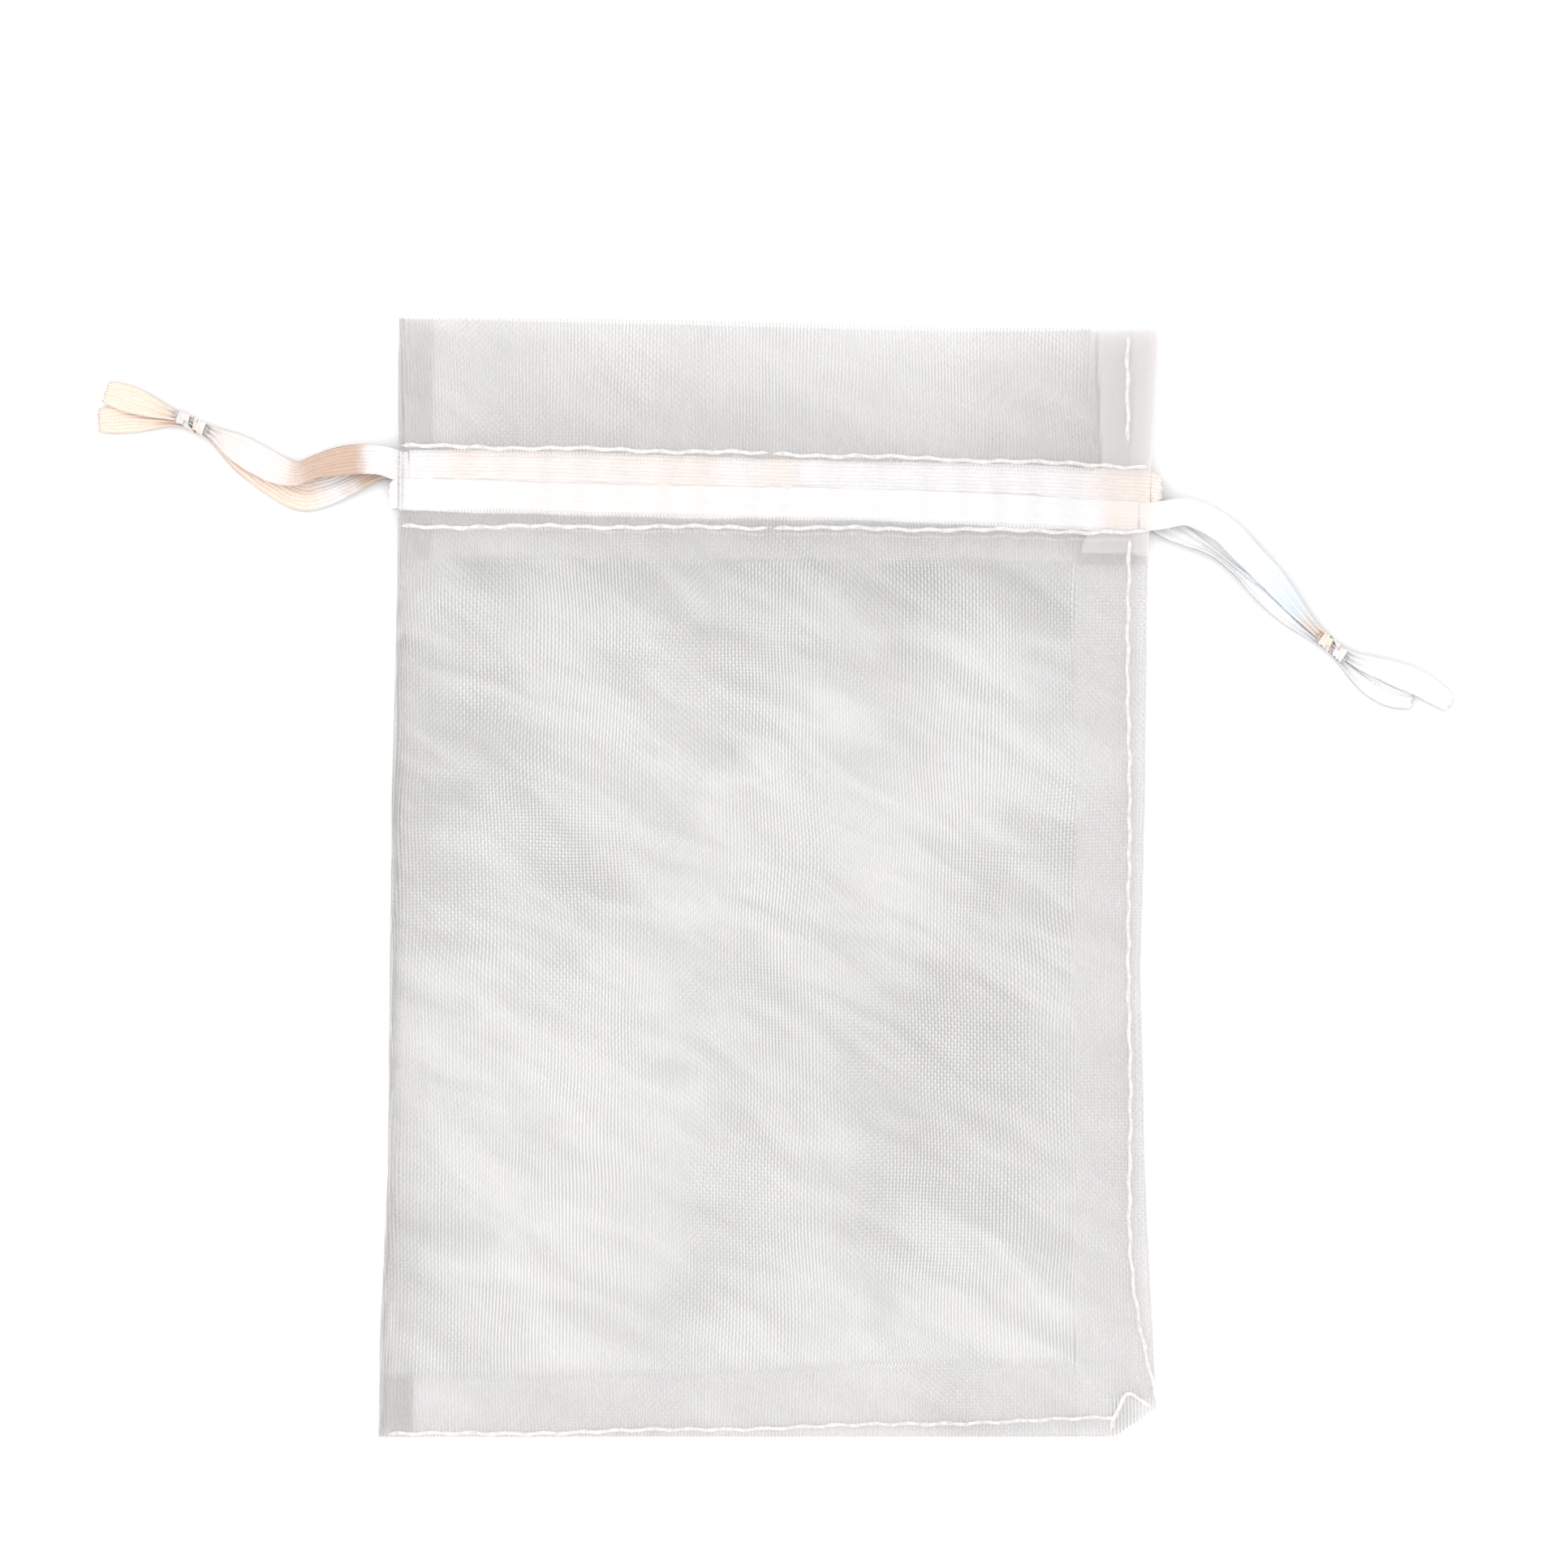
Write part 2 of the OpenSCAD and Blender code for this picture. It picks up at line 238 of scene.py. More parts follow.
# 0 is the sheer cloth on its own, 1 the palest, more than 1 also hides what is under it, and below 0 is the
# darker tone of the fold. It stands for how plies that lie together look, and isn't worked out from them.
# Paleness also takes away the weave's painted shade, so in places it is painted light: over the ribbons and
# lower down the body.
# The body's paleness is painted light and shade
BODY_PAINTED_LIGHT = 0.16
PALE_HEM = 0.22
PALE_SIDE_BAND = 0.46
PALE_BOTTOM_BAND = 0.26
PALE_FRILL_BAND = 0.85
PALE_PAST_SEAM = 0.14
# How far the paleness drifts from place to place, and the share that the folded corner loses
PALE_DRIFT = 0.05
CORNER_LOSS = 0.75
# Painted light: how pale the cloth is painted where it lies over the ribbons
CHANNEL_PAINTED_LIGHT = 1.15
# The plies inside, whose threads hardly show through the panels
PALE_INSIDE = 0.95
PALE_EDGE = -0.45
# Half of the height of cloth that is painted light over each ribbon
RIBBON_REACH = 1.95


def panel_pale(u, y):
    """Paleness of the panels, which grows over the allowances and the hem, and most over the ribbons; over
    the ribbons and lower down the body it is painted light.
    """
    x = x_at(u, y)
    # Painted light and shade on the body: paler lower down and away from the left side, darker towards the
    # neck and at the far left, standing for less shade where the front stands off the back
    pale = BODY_PAINTED_LIGHT * smooth((NECK_Y + 2 - y) / 42) * (0.75 + 0.25 * smooth((x + 46) / 14))
    pale = pale + PALE_DRIFT * fractal(x, y, 26.0, 21.3, 2)
    pale = pale + PALE_HEM * smooth((y - row_y(HEM_EDGE, u)) / 0.8)
    pale = np.maximum(pale, 0)
    inside_side = smooth((x - allowance_edge(y)) / 0.8)
    inside_base = smooth((allowance_top(x) - y) / 0.8)
    pale = pale * (1 - inside_side) + np.maximum(pale, PALE_SIDE_BAND) * inside_side
    pale = pale + PALE_BOTTOM_BAND * inside_base * (1 - 0.6 * inside_side)
    pale = pale + PALE_PAST_SEAM * smooth((x - SIDE_SEAM_X - 0.4) / 0.6)
    pale = pale + PALE_FRILL_BAND * inside_side * smooth((y - HEM_EDGE[0]) / 0.8)
    in_corner = smooth((x - 44.4) / 0.8) * smooth((-66.5 - y) / 1.2)
    pale = pale * (1 - CORNER_LOSS * in_corner)
    # Painted light: over the ribbons the cloth is painted pale, without the weave's painted shade
    over = smooth((row_y(LEFT_LANE, u) + RIBBON_REACH - y) / 0.7)
    under = smooth((y - row_y(RIGHT_LANE, u) + RIBBON_REACH) / 0.7)
    painted_light_on_ribbon = over * under
    pale = pale * (1 - painted_light_on_ribbon) + CHANNEL_PAINTED_LIGHT * painted_light_on_ribbon
    edge = np.exp(-((x - left_x(y)) / 0.9) ** 2)
    return pale * (1 - edge) + PALE_EDGE * edge


def inside_pale(_u, y):
    return np.full_like(y, PALE_INSIDE)


# ---------------------------------------------------------------- meshes


def new_mesh(name, points, faces, material, coordinates=None):
    """An object from points in millimetres; coordinates go to the attribute that its weave reads."""
    mesh = bpy.data.meshes.new(name)
    mesh.from_pydata((np.asarray(points, float) * MM).tolist(), [], faces)
    mesh.validate()
    mesh.shade_smooth()
    if coordinates is not None:
        made = mesh.attributes.new("cut", "FLOAT_VECTOR", "POINT")
        made.data.foreach_set("vector", np.asarray(coordinates, np.float32).ravel())
    mesh.materials.append(material)
    piece = bpy.data.objects.new(name, mesh)
    bpy.context.scene.collection.objects.link(piece)
    return piece


def grid_faces(rows, columns, start=0, flip=False):
    faces = []
    for i in range(rows - 1):
        for j in range(columns - 1):
            a = start + i * columns + j
            face = (a, a + 1, a + columns + 1, a + columns)
            faces.append(face[::-1] if flip else face)
    return faces


def flat_area(x, y):
    """Area of a grid of cells, in square metres, from its flat coordinates in millimetres."""
    dx1, dy1 = x[1:, 1:] - x[:-1, :-1], y[1:, 1:] - y[:-1, :-1]
    dx2, dy2 = x[1:, :-1] - x[:-1, 1:], y[1:, :-1] - y[:-1, 1:]
    return float(np.abs(dx1 * dy2 - dx2 * dy1).sum() / 2) * MM * MM


def smooth_route(points, step=0.4):
    """A dense smooth curve through the points, each passed exactly."""
    p = np.array(points, float)
    p = np.concatenate([[2 * p[0] - p[1]], p, [2 * p[-1] - p[-2]]])
    made = []
    for a, b, c, d in zip(p, p[1:], p[2:], p[3:]):
        count = max(2, int(round(np.linalg.norm(c - b) / step)))
        t = (np.arange(count) / count)[:, None]
        made.append(
            0.5 * (2 * b + (c - a) * t + (2 * a - 5 * b + 4 * c - d) * t ** 2
                   + (3 * b - a - 3 * c + d) * t ** 3)
        )
    return np.concatenate([*made, p[-2:-1]])


def unit(v):
    return v / np.linalg.norm(v, axis=-1, keepdims=True)


def lengths_along(points):
    gaps = np.linalg.norm(np.diff(points, axis=0), axis=1)
    return np.concatenate([[0], np.cumsum(gaps)])


def run_length(points, axis):
    """Length over the grid, from its first row or column to each point."""
    gaps = np.linalg.norm(np.diff(points, axis=axis), axis=-1)
    return np.concatenate([np.zeros_like(np.take(gaps, [0], axis)), np.cumsum(gaps, axis)], axis)


def declare_cloth(piece, x, y):
    # Sheer plies cast no shadow, so that stacked cloth doesn't turn dark
    piece.visible_shadow = False
    size = (float(np.ptp(x)) * MM, float(np.ptp(y)) * MM)
    min(flat_area(x, y), size[0] * size[1])


def cloth_grid(low, high, across, step):
    """Shares of the width and heights y, on a grid between the lines y = low(u) and y = high(u)."""
    columns = max(3, int(round((across[1] - across[0]) * 2 * HALF_WIDTH / step)) + 1)
    u = np.linspace(*across, columns)
    rows = max(3, int(round(float(np.max(high(u) - low(u))) / step)) + 1)
    t = np.linspace(0, 1, rows)[:, None]
    y = low(u)[None] * (1 - t) + high(u)[None] * t
    return np.broadcast_to(u[None], y.shape), y


# Share by which the weave of each further ply is drawn out, so that two plies don't line up
PLY_SPREAD = 0.011


def weave_coordinates(x, y, ply, pale):
    """What the weave reads: the flat cut, drawn out a little differently for each ply, and its paleness."""
    spread = 1 + PLY_SPREAD * ply
    return np.stack(np.broadcast_arrays(x * spread, y * spread, pale), -1).reshape(-1, 3)


def cloth(name, low, high, across, step, height, material, ply, pale):
    """A ply of cloth between two lines, over a span of shares of the width, with cells of the given step."""
    u, y = cloth_grid(low, high, across, step)
    x = x_at(u, y)
    points = np.stack([x, y, height(u, y)], -1).reshape(-1, 3)
    coordinates = weave_coordinates(x, y, ply, pale(u, y))
    piece = new_mesh(name, points, grid_faces(*x.shape), material, coordinates)
    declare_cloth(piece, x, y)
    return piece


def turned_cloth(name, points, flat, material, ply, pale, keep=None):
    """A ply that turns round an edge: points is a grid of places and flat the same grid on the flat cut."""
    faces = grid_faces(*flat.shape[:2])
    if keep is not None:
        faces = [face for face in faces if all(keep[i] for i in face)]
    coordinates = weave_coordinates(flat[..., 0], flat[..., 1], ply, pale)
    piece = new_mesh(name, points.reshape(-1, 3), faces, material, coordinates)
    declare_cloth(piece, flat[..., 0], flat[..., 1])
    return piece


# ---------------------------------------------------------------- baking each piece's place


def gather(piece, side, slanted):
    """Bakes the piece's place into its mesh. How the ribbon on this side would draw the cloth in, tapering
    off below the neck, is worked out but not applied.
    """
    edge_x, corner_x = (left_x, right_x)[side == "right"](np.array([NECK_Y, BASE_Y]))
    reach = edge_x - MIDDLE_X
    if slanted:
        along = np.array([BASE_Y - NECK_Y, MIDDLE_X - corner_x])
        along = along * (along[0] * reach) / (along @ along)
    else:
        along = np.array([reach, 0.0])
    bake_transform(piece)


# ---------------------------------------------------------------- materials


def new_material(name):
    material = bpy.data.materials.new(name)
    material.use_nodes = True
    shader = material.node_tree.nodes["Principled BSDF"]
    return material, shader


def add_node(material, kind, **values):
    node = material.node_tree.nodes.new(kind)
    for key, value in values.items():
        setattr(node, key, value)
    return node


def set_input(material, node, key, value):
    """A number or colour is set on the socket, and an output is linked to it."""
    if isinstance(value, bpy.types.NodeSocket):
        material.node_tree.links.new(value, node.inputs[key])
    else:
        node.inputs[key].default_value = value


def calculate(material, operation, *values, clamp=False):
    node = add_node(material, "ShaderNodeMath", operation=operation, use_clamp=clamp)
    for i, value in enumerate(values):
        set_input(material, node, i, value)
    return node.outputs[0]


def mix_colours(material, share, first, second, blend="MIX"):
    node = add_node(material, "ShaderNodeMix", data_type="RGBA", blend_type=blend)
    set_input(material, node, "Factor", share)
    set_input(material, node, 6, first)
    set_input(material, node, 7, second)
    return node.outputs[2]


def read_cut(material):
    """The coordinates on the flat piece in millimetres, as a vector and as its three parts."""
    cut = add_node(material, "ShaderNodeAttribute", attribute_name="cut")
    parts = add_node(material, "ShaderNodeSeparateXYZ")
    set_input(material, parts, 0, cut.outputs["Vector"])
    return cut.outputs["Vector"], parts.outputs[0], parts.outputs[1], parts.outputs[2]


def noise_at(material, vector, size, turn=0.0, detail=2.0, warp=0.0):
    """Noise from 0 to 1, whose features have the given size in millimetres along and across a direction."""
    mapping = add_node(material, "ShaderNodeMapping", vector_type="TEXTURE")
    set_input(material, mapping, "Vector", vector)
    set_input(material, mapping, "Scale", (*size, 1.0))
    set_input(material, mapping, "Rotation", (0, 0, turn))
    texture = add_node(material, "ShaderNodeTexNoise")
    set_input(material, texture, "Vector", mapping.outputs[0])
    set_input(material, texture, "Scale", 1.0)
    set_input(material, texture, "Detail", detail)
    set_input(material, texture, "Distortion", warp)
    return texture.outputs[0]


def ridges(material, coordinate, pitch):
    """Waves from 0 to 1 along a coordinate in millimetres."""
    turned = calculate(material, "MULTIPLY", coordinate, 2 * math.pi / pitch)
    wave = calculate(material, "SINE", turned)
    return calculate(material, "MULTIPLY_ADD", wave, 0.5, 0.5)


def bump(material, shader, height, strength, distance):
    node = add_node(material, "ShaderNodeBump")
    set_input(material, node, "Height", height)
    set_input(material, node, "Strength", strength)
    set_input(material, node, "Distance", distance)
    set_input(material, shader, "Normal", node.outputs[0])


def organza_material(settings):
    """Sheer plain weave: upright threads stand out in painted shade, cross threads come and go, with gaps
    between them.
    """
    material, shader = new_material("sheer_organza")
    vector, x, y, pale = read_cut(material)
    drift = noise_at(material, vector, (22.0, 22.0), detail=1.0)
    shift = calculate(material, "MULTIPLY_ADD", drift, 2.4, -1.2)
    pitch = settings.thread_pitch / MM
    warp_x = calculate(material, "ADD", x, shift)
    weft_y = calculate(material, "ADD", y, shift)
    warp = ridges(material, warp_x, pitch)
    weft = ridges(material, weft_y, pitch)
    over_under = calculate(
        material, "MULTIPLY",
        calculate(material, "SINE", calculate(material, "MULTIPLY", warp_x, math.pi / pitch)),
        calculate(material, "SINE", calculate(material, "MULTIPLY", weft_y, math.pi / pitch)),
    )
    crossed = noise_at(material, vector, (30.0, 42.0), math.radians(20), 2.0, 0.5)
    crossed = calculate(material, "MULTIPLY_ADD", crossed, 3.6, -1.45, clamp=True)
    # Slanting streaks in colour and cover, partly the moiré of two plies and partly painted sheen: lighter
    # bands and darker gaps painted on
    moire_and_painted_sheen = noise_at(material, vector, (17.0, 4.2), math.radians(-27), 2.0, 0.9)
    cloudy = noise_at(material, vector, (9.0, 9.0), detail=4.0)

    lines = calculate(material, "MULTIPLY", calculate(material, "MULTIPLY", warp, warp), 0.9)
    crossing = calculate(material, "MULTIPLY", weft, calculate(material, "MULTIPLY", crossed, 0.36))
    knit = calculate(
        material, "MULTIPLY", over_under, calculate(material, "MULTIPLY_ADD", crossed, 0.22, 0.08)
    )
    threads = calculate(material, "ADD", calculate(material, "ADD", lines, crossing), knit, clamp=True)
    softness = calculate(material, "MULTIPLY_ADD", pale, -0.92, 1.0, clamp=True)
    moire_and_painted_sheen_band = calculate(material, "MULTIPLY_ADD", moire_and_painted_sheen, 0.9, -0.45)
    cover = calculate(
        material, "MULTIPLY_ADD", threads,
        calculate(material, "MULTIPLY", softness, settings.thread_cover), settings.base_cover
    )
    cover = calculate(
        material, "MULTIPLY_ADD", moire_and_painted_sheen_band, calculate(material, "MULTIPLY", softness, 0.3), cover
    )
    veil = calculate(material, "MULTIPLY_ADD", pale, 1.0, -1.0, clamp=True)
    cover = calculate(material, "ADD", cover, veil)
    set_input(material, shader, "Alpha", calculate(material, "MINIMUM", cover, 0.97, clamp=True))

    # Painted shade: the threads, and the dark streaks of the painted sheen, are painted towards the shade
    # colour
    painted_shade_share = calculate(material, "MULTIPLY_ADD", moire_and_painted_sheen_band, 0.8, threads, clamp=True)
    woven = mix_colours(material, painted_shade_share, (*settings.organza_colour, 1), (*settings.organza_painted_shade, 1))
    tint = mix_colours(material, cloudy, (0.97, 0.985, 1.0, 1), (1.0, 0.985, 0.96, 1))
    tinted = mix_colours(material, 1.0, woven, tint, "MULTIPLY")
    whitened = mix_colours(
        material, calculate(material, "MULTIPLY", pale, 0.9, clamp=True), tinted,
        (*settings.pale_colour, 1)
    )
    veil_share = calculate(material, "MULTIPLY", veil, 2.2, clamp=True)
    veiled = mix_colours(material, veil_share, whitened, (*settings.veil_colour, 1))
    edge = calculate(material, "MULTIPLY", pale, -0.8, clamp=True)
    set_input(
        material, shader, "Base Color", mix_colours(material, edge, veiled, (*settings.edge_colour, 1))
    )
    set_input(material, shader, "Roughness", 0.38)
    set_input(material, shader, "Sheen Weight", 0.12)
    set_input(material, shader, "Sheen Roughness", 0.35)
    bump(material, shader, threads, 0.35, 0.00006)
    return material


def thread_material(settings):
    """Soft white thread with a slanting twist and a little fluff."""
    material, shader = new_material("soft_thread")
    vector, along, around, crown = read_cut(material)
    slant = calculate(material, "MULTIPLY_ADD", around, 0.35, along)
    twist = ridges(material, slant, 0.8)
    fluff = noise_at(material, vector, (0.9, 0.5), detail=3.0)
    # Painted shade in the twist: the thread is painted darker between its turns
    tone = calculate(material, "MULTIPLY_ADD", twist, 0.6, 0.4)
    pale = (*settings.thread_colour, 1)
    shade = tuple(0.86 * c for c in settings.thread_colour) + (1,)
    twist_painted_shade = mix_colours(material, tone, shade, pale)
    set_input(material, shader, "Base Color", mix_colours(material, fluff, twist_painted_shade, pale))
    cover = calculate(material, "MULTIPLY_ADD", fluff, 0.9, -0.14)
    cover = calculate(material, "MULTIPLY_ADD", crown, 0.24, cover, clamp=True)
    set_input(material, shader, "Alpha", cover)
    set_input(material, shader, "Roughness", 0.5)
    bump(material, shader, twist, 0.4, 0.00008)
    return material


def ribbon_material(name, stops, rib_painted_shade, settings):
    """Ribbed satin. stops are (place along the ribbon in mm, colour), from one cut end to the other."""
    material, shader = new_material(name)
    vector, along, across, _ = read_cut(material)
    first, last = stops[0][0], stops[-1][0]
    blotch = noise_at(material, vector, (2.0, 5.0), detail=3.0)
    centred = calculate(material, "SUBTRACT", along, 1.5)
    moved = calculate(material, "MULTIPLY_ADD", blotch, 3.0, centred)
    place = add_node(material, "ShaderNodeMapRange")
    for key, value in ((0, moved), (1, first), (2, last), (3, 0.0), (4, 1.0)):
        set_input(material, place, key, value)
    ramp = add_node(material, "ShaderNodeValToRGB")
    set_input(material, ramp, 0, place.outputs[0])
    elements = ramp.color_ramp.elements
    while len(elements) < len(stops):
        elements.new(0.5)
    for element, (at, colour) in zip(elements, stops):
        element.position = (at - first) / (last - first)
        element.color = (*colour, 1)
    waver = noise_at(material, vector, (2.5, 1.2), detail=2.0)
    rib = ridges(
        material, calculate(material, "MULTIPLY_ADD", waver, 0.5, across), settings.rib_pitch / MM
    )
    pick = ridges(
        material, calculate(material, "MULTIPLY_ADD", waver, 0.9, along), settings.rib_pitch / MM * 0.9
    )
    broken = noise_at(material, vector, (1.1, 0.8), detail=2.0)
    broken = calculate(material, "MULTIPLY_ADD", broken, 3.4, -1.2, clamp=True)
    dashes = calculate(material, "MULTIPLY", pick, broken)
    weave = calculate(material, "MULTIPLY_ADD", rib, 0.6, calculate(material, "MULTIPLY", dashes, 0.4))
    # Painted shade between the ribs and in the crossing dashes
    darker = mix_colours(material, 1.0, ramp.outputs[0], rib_painted_shade, "MULTIPLY")
    share = calculate(material, "MULTIPLY_ADD", weave, -1.0, 1.0, clamp=True)
    set_input(material, shader, "Base Color", mix_colours(material, share, darker, ramp.outputs[0]))
    set_input(material, shader, "Roughness", 0.36)
    set_input(material, shader, "Sheen Weight", 0.35)
    set_input(material, shader, "Sheen Roughness", 0.3)
    set_input(material, shader, "Anisotropic", 0.5)
    bump(material, shader, weave, 0.6, 0.00012)
    return material


# ---------------------------------------------------------------- cloth pieces

SIDES = {"left": (0.0, 0.5), "right": (0.5, 1.0)}
CELL = 0.8
CELLS = {"front": 0.6, "back": 0.9}
FOLD_RADIUS = 0.45
STRIP = 4.4
TURN_STEPS = 6
# The fold's strips lie just inside the panels, and a painted highlight runs along a ridge near its foot
STRIP_ABOVE_BACK = 0.12
STRIP_UNDER_FRONT = 0.08
CREASE_Y = -58.0
CREASE_IN = 1.3
CREASE_PAINTED_HIGHLIGHT = 1.2
# The channel is open at both sides between these heights, and the ribbons pass there
CHANNEL_LOW = 48.0
CHANNEL_HIGH = 56.2


def neck_line(u):
    return np.full_like(u, NECK_Y)


def make_panels(material):
    """Front and back panels, each in halves that meet in the middle, above and below the neck."""
    for face, height in (("front", front_z), ("back", lambda u, y: BACK_Z + back_wrinkles(u, y))):
        for side, span in SIDES.items():
            for part, low, high in (("body", base_y, neck_line), ("frill", neck_line, mouth_y)):
                name = f"{face}_{part}_{side}"
                piece = cloth(
                    name, low, high, span, CELLS[face], height, material, float(face == "back"), panel_pale
                )
                gather(piece, side, part == "body")
        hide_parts(f"{face}_panel")


def hem_line(u):
    return row_y(HEM_EDGE, u)


def front_hem_z(u, y):
    return FRONT_HEM_Z + loft(u, y) + front_wrinkles(u, y)


def back_hem_z(u, y):
    return BACK_HEM_Z + back_wrinkles(u, y)


def make_hems(material):
    """The cloth folded in at the mouth on both faces, from the tip of the frill down to its raw edge."""
    for face, inner, outer in (
        ("front", front_hem_z, front_z),
        ("back", back_hem_z, lambda u, y: BACK_Z + back_wrinkles(u, y)),
    ):

        def height(u, y):
            tip = mouth_y(u)
            towards = smooth((y - (tip - 1.2)) / 1.2)
            return inner(u, y) * (1 - towards) + outer(u, y) * towards

        for side, span in SIDES.items():
            piece = cloth(
                f"{face}_hem_{side}", hem_line, mouth_y, span, CELL, height, material,
                2.0 + (face == "back"), inside_pale
            )
            gather(piece, side, False)
            if side == "left":
                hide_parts(f"{face}_hem")


def make_side_fold(material):
    """The fold down the left side, with a strip of each panel, open where the ribbons pass."""
    y = np.arange(BASE_Y, TIP_Y + CELL / 2, CELL)
    y[-1] = TIP_Y
    edge = left_x(y)[:, None]
    low = np.full_like(edge, BACK_Z + STRIP_ABOVE_BACK)
    high = front_z(0 * y, y)[:, None] - STRIP_UNDER_FRONT
    radius, centre = (high - low) / 2, (high + low) / 2
    turns = np.linspace(math.pi / 2, -math.pi / 2, 2 * TURN_STEPS)[None]
    inward = np.linspace(FOLD_RADIUS, STRIP, 7)[None]
    over_u = 0.5 * inward / (MIDDLE_X - edge)
    over_z = front_z(over_u, y[:, None] + 0 * over_u) - STRIP_UNDER_FRONT
    round_edge = edge + FOLD_RADIUS * (1 - np.cos(turns))
    x = np.concatenate([(edge + inward)[:, ::-1], round_edge, edge + inward], 1)
    z = np.concatenate([over_z[:, ::-1], centre + radius * np.sin(turns), low + 0 * inward], 1)
    ys = np.broadcast_to(y[:, None], x.shape)
    points = np.stack([x, ys, z], -1)
    flat = np.stack([edge + STRIP - run_length(points, 1), ys], -1)
    near_edge = np.exp(-((x - edge) / 1.1) ** 2)
    pale = PALE_EDGE * near_edge + PALE_INSIDE * (1 - near_edge)
    # Painted highlight: a pale streak near the foot of the fold
    painted_crease_highlight = np.exp(-((ys - CREASE_Y) / 4) ** 2) * np.exp(-((x - edge - CREASE_IN) / 0.5) ** 2)
    pale = pale + CREASE_PAINTED_HIGHLIGHT * painted_crease_highlight
    keep = (ys <= CHANNEL_LOW) | (ys >= CHANNEL_HIGH)
    for part, rows in (("body", y <= NECK_Y), ("frill", y >= NECK_Y)):
        piece = turned_cloth(
            f"side_fold_{part}", points[rows], flat[rows], material, 4.0, pale[rows], keep[rows].ravel()
        )
        gather(piece, "left", part == "body")
        if part == "body":
            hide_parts("side_fold")


# Height of each turned-in ply in the body, and how much higher the side one lies in the neck
SIDE_LEVELS = {"front": (0.75, 0.52), "back": (0.45, 0.70)}
BOTTOM_LEVELS = {"front": 0.78, "back": 0.42}
# How far the raw edges of the back plies lie off those of the front ones
BACK_PLY_GAIN = 0.5


def make_side_allowances(material):
    """Both plies turned in along the sewn side, from the outer edge of each panel."""
    y = np.arange(BASE_Y + 5.0, TIP_Y - 1.6, CELL)
    climb = smooth((y - CLIMB_START_Y) / (CLIMB_END_Y - CLIMB_START_Y))
    u = np.ones_like(y)
    for face, outer in (("front", front_z(u, y)), ("back", BACK_Z + 0 * y)):
        level, rise = SIDE_LEVELS[face]
        inner = level + rise * climb
        turns = np.linspace(math.pi / 2, -math.pi / 2, 2 * TURN_STEPS)
        radius, centre = (outer - inner) / 2, (outer + inner) / 2
        x = right_x(y)[:, None] - 0.3 * (1 - np.cos(turns))[None]
        z = centre[:, None] + radius[:, None] * np.sin(turns)[None]
        edge_x = allowance_edge(y) + (BACK_PLY_GAIN if face == "back" else 0.0)
        share = np.linspace(0.03, 1, 14)[None]
        flat_x = (right_x(y) - 0.3)[:, None] * (1 - share) + edge_x[:, None] * share
        rough = 0.05 * np.sin(y / 2.1)[:, None] * np.sin(share * 7)
        flat_z = inner[:, None] + 0.0 * flat_x + rough
        x, z = np.concatenate([x, flat_x], 1), np.concatenate([z, flat_z], 1)
        ys = np.broadcast_to(y[:, None], x.shape)
        points = np.stack([x, ys, z], -1)
        flat = np.stack([right_x(y)[:, None] + run_length(points, 1), ys], -1)
        for part, rows in (("body", y <= NECK_Y), ("frill", y >= NECK_Y - CELL)):
            keep = np.ones(points[rows].shape[:2], bool)
            turn = np.arange(points.shape[1]) < 2 * TURN_STEPS
            passing = (points[rows][..., 1] > CHANNEL_LOW - 3) & (points[rows][..., 1] < CHANNEL_HIGH - 1.4)
            keep &= ~(passing & turn[None])
            keep &= points[rows][..., 1] > allowance_top(points[rows][..., 0]) - CELL / 2
            piece = turned_cloth(
                f"{face}_side_allowance_{part}", points[rows], flat[rows], material, 5.0,
                PALE_INSIDE, keep.ravel()
            )
            gather(piece, "right", part == "body")
            if part == "body":
                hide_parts(f"{face}_side_allowance")


def make_bottom_allowances(material):
    """Both plies turned in along the bottom, cut off aslant where the side allowance lies over them."""
    for face in ("front", "back"):
        x = np.arange(left_x(BASE_Y) + 0.6, 45.2, CELL)
        top = allowance_top(x) + (BACK_PLY_GAIN if face == "back" else 0)
        outer = BODY_Z if face == "front" else BACK_Z
        inner = BOTTOM_LEVELS[face]
        turns = np.linspace(math.pi / 2, -math.pi / 2, 2 * TURN_STEPS)
        y_turn = BASE_Y + 0.3 * (1 - np.cos(turns))[:, None] + 0 * x[None]
        z_turn = (outer + inner) / 2 + (outer - inner) / 2 * np.sin(turns)[:, None] + 0 * x[None]
        share = np.linspace(0.03, 1, 13)[:, None]
        y_flat = (BASE_Y + 0.3) * (1 - share) + top[None] * share
        z_flat = inner + 0.05 * np.sin(x / 1.9)[None] * np.sin(share * 6)
        y, z = np.concatenate([y_turn, y_flat]), np.concatenate([z_turn, z_flat])
        xs = np.broadcast_to(x[None], y.shape)
        points = np.stack([xs, y, z], -1)
        flat = np.stack([xs, BASE_Y - run_length(points, 0)], -1)
        piece = turned_cloth(f"{face}_bottom_allowance_cloth", points, flat, material, 6.0, PALE_INSIDE)
        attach(piece, "pouch")
        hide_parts(f"{face}_bottom_allowance")


# ---------------------------------------------------------------- stitches


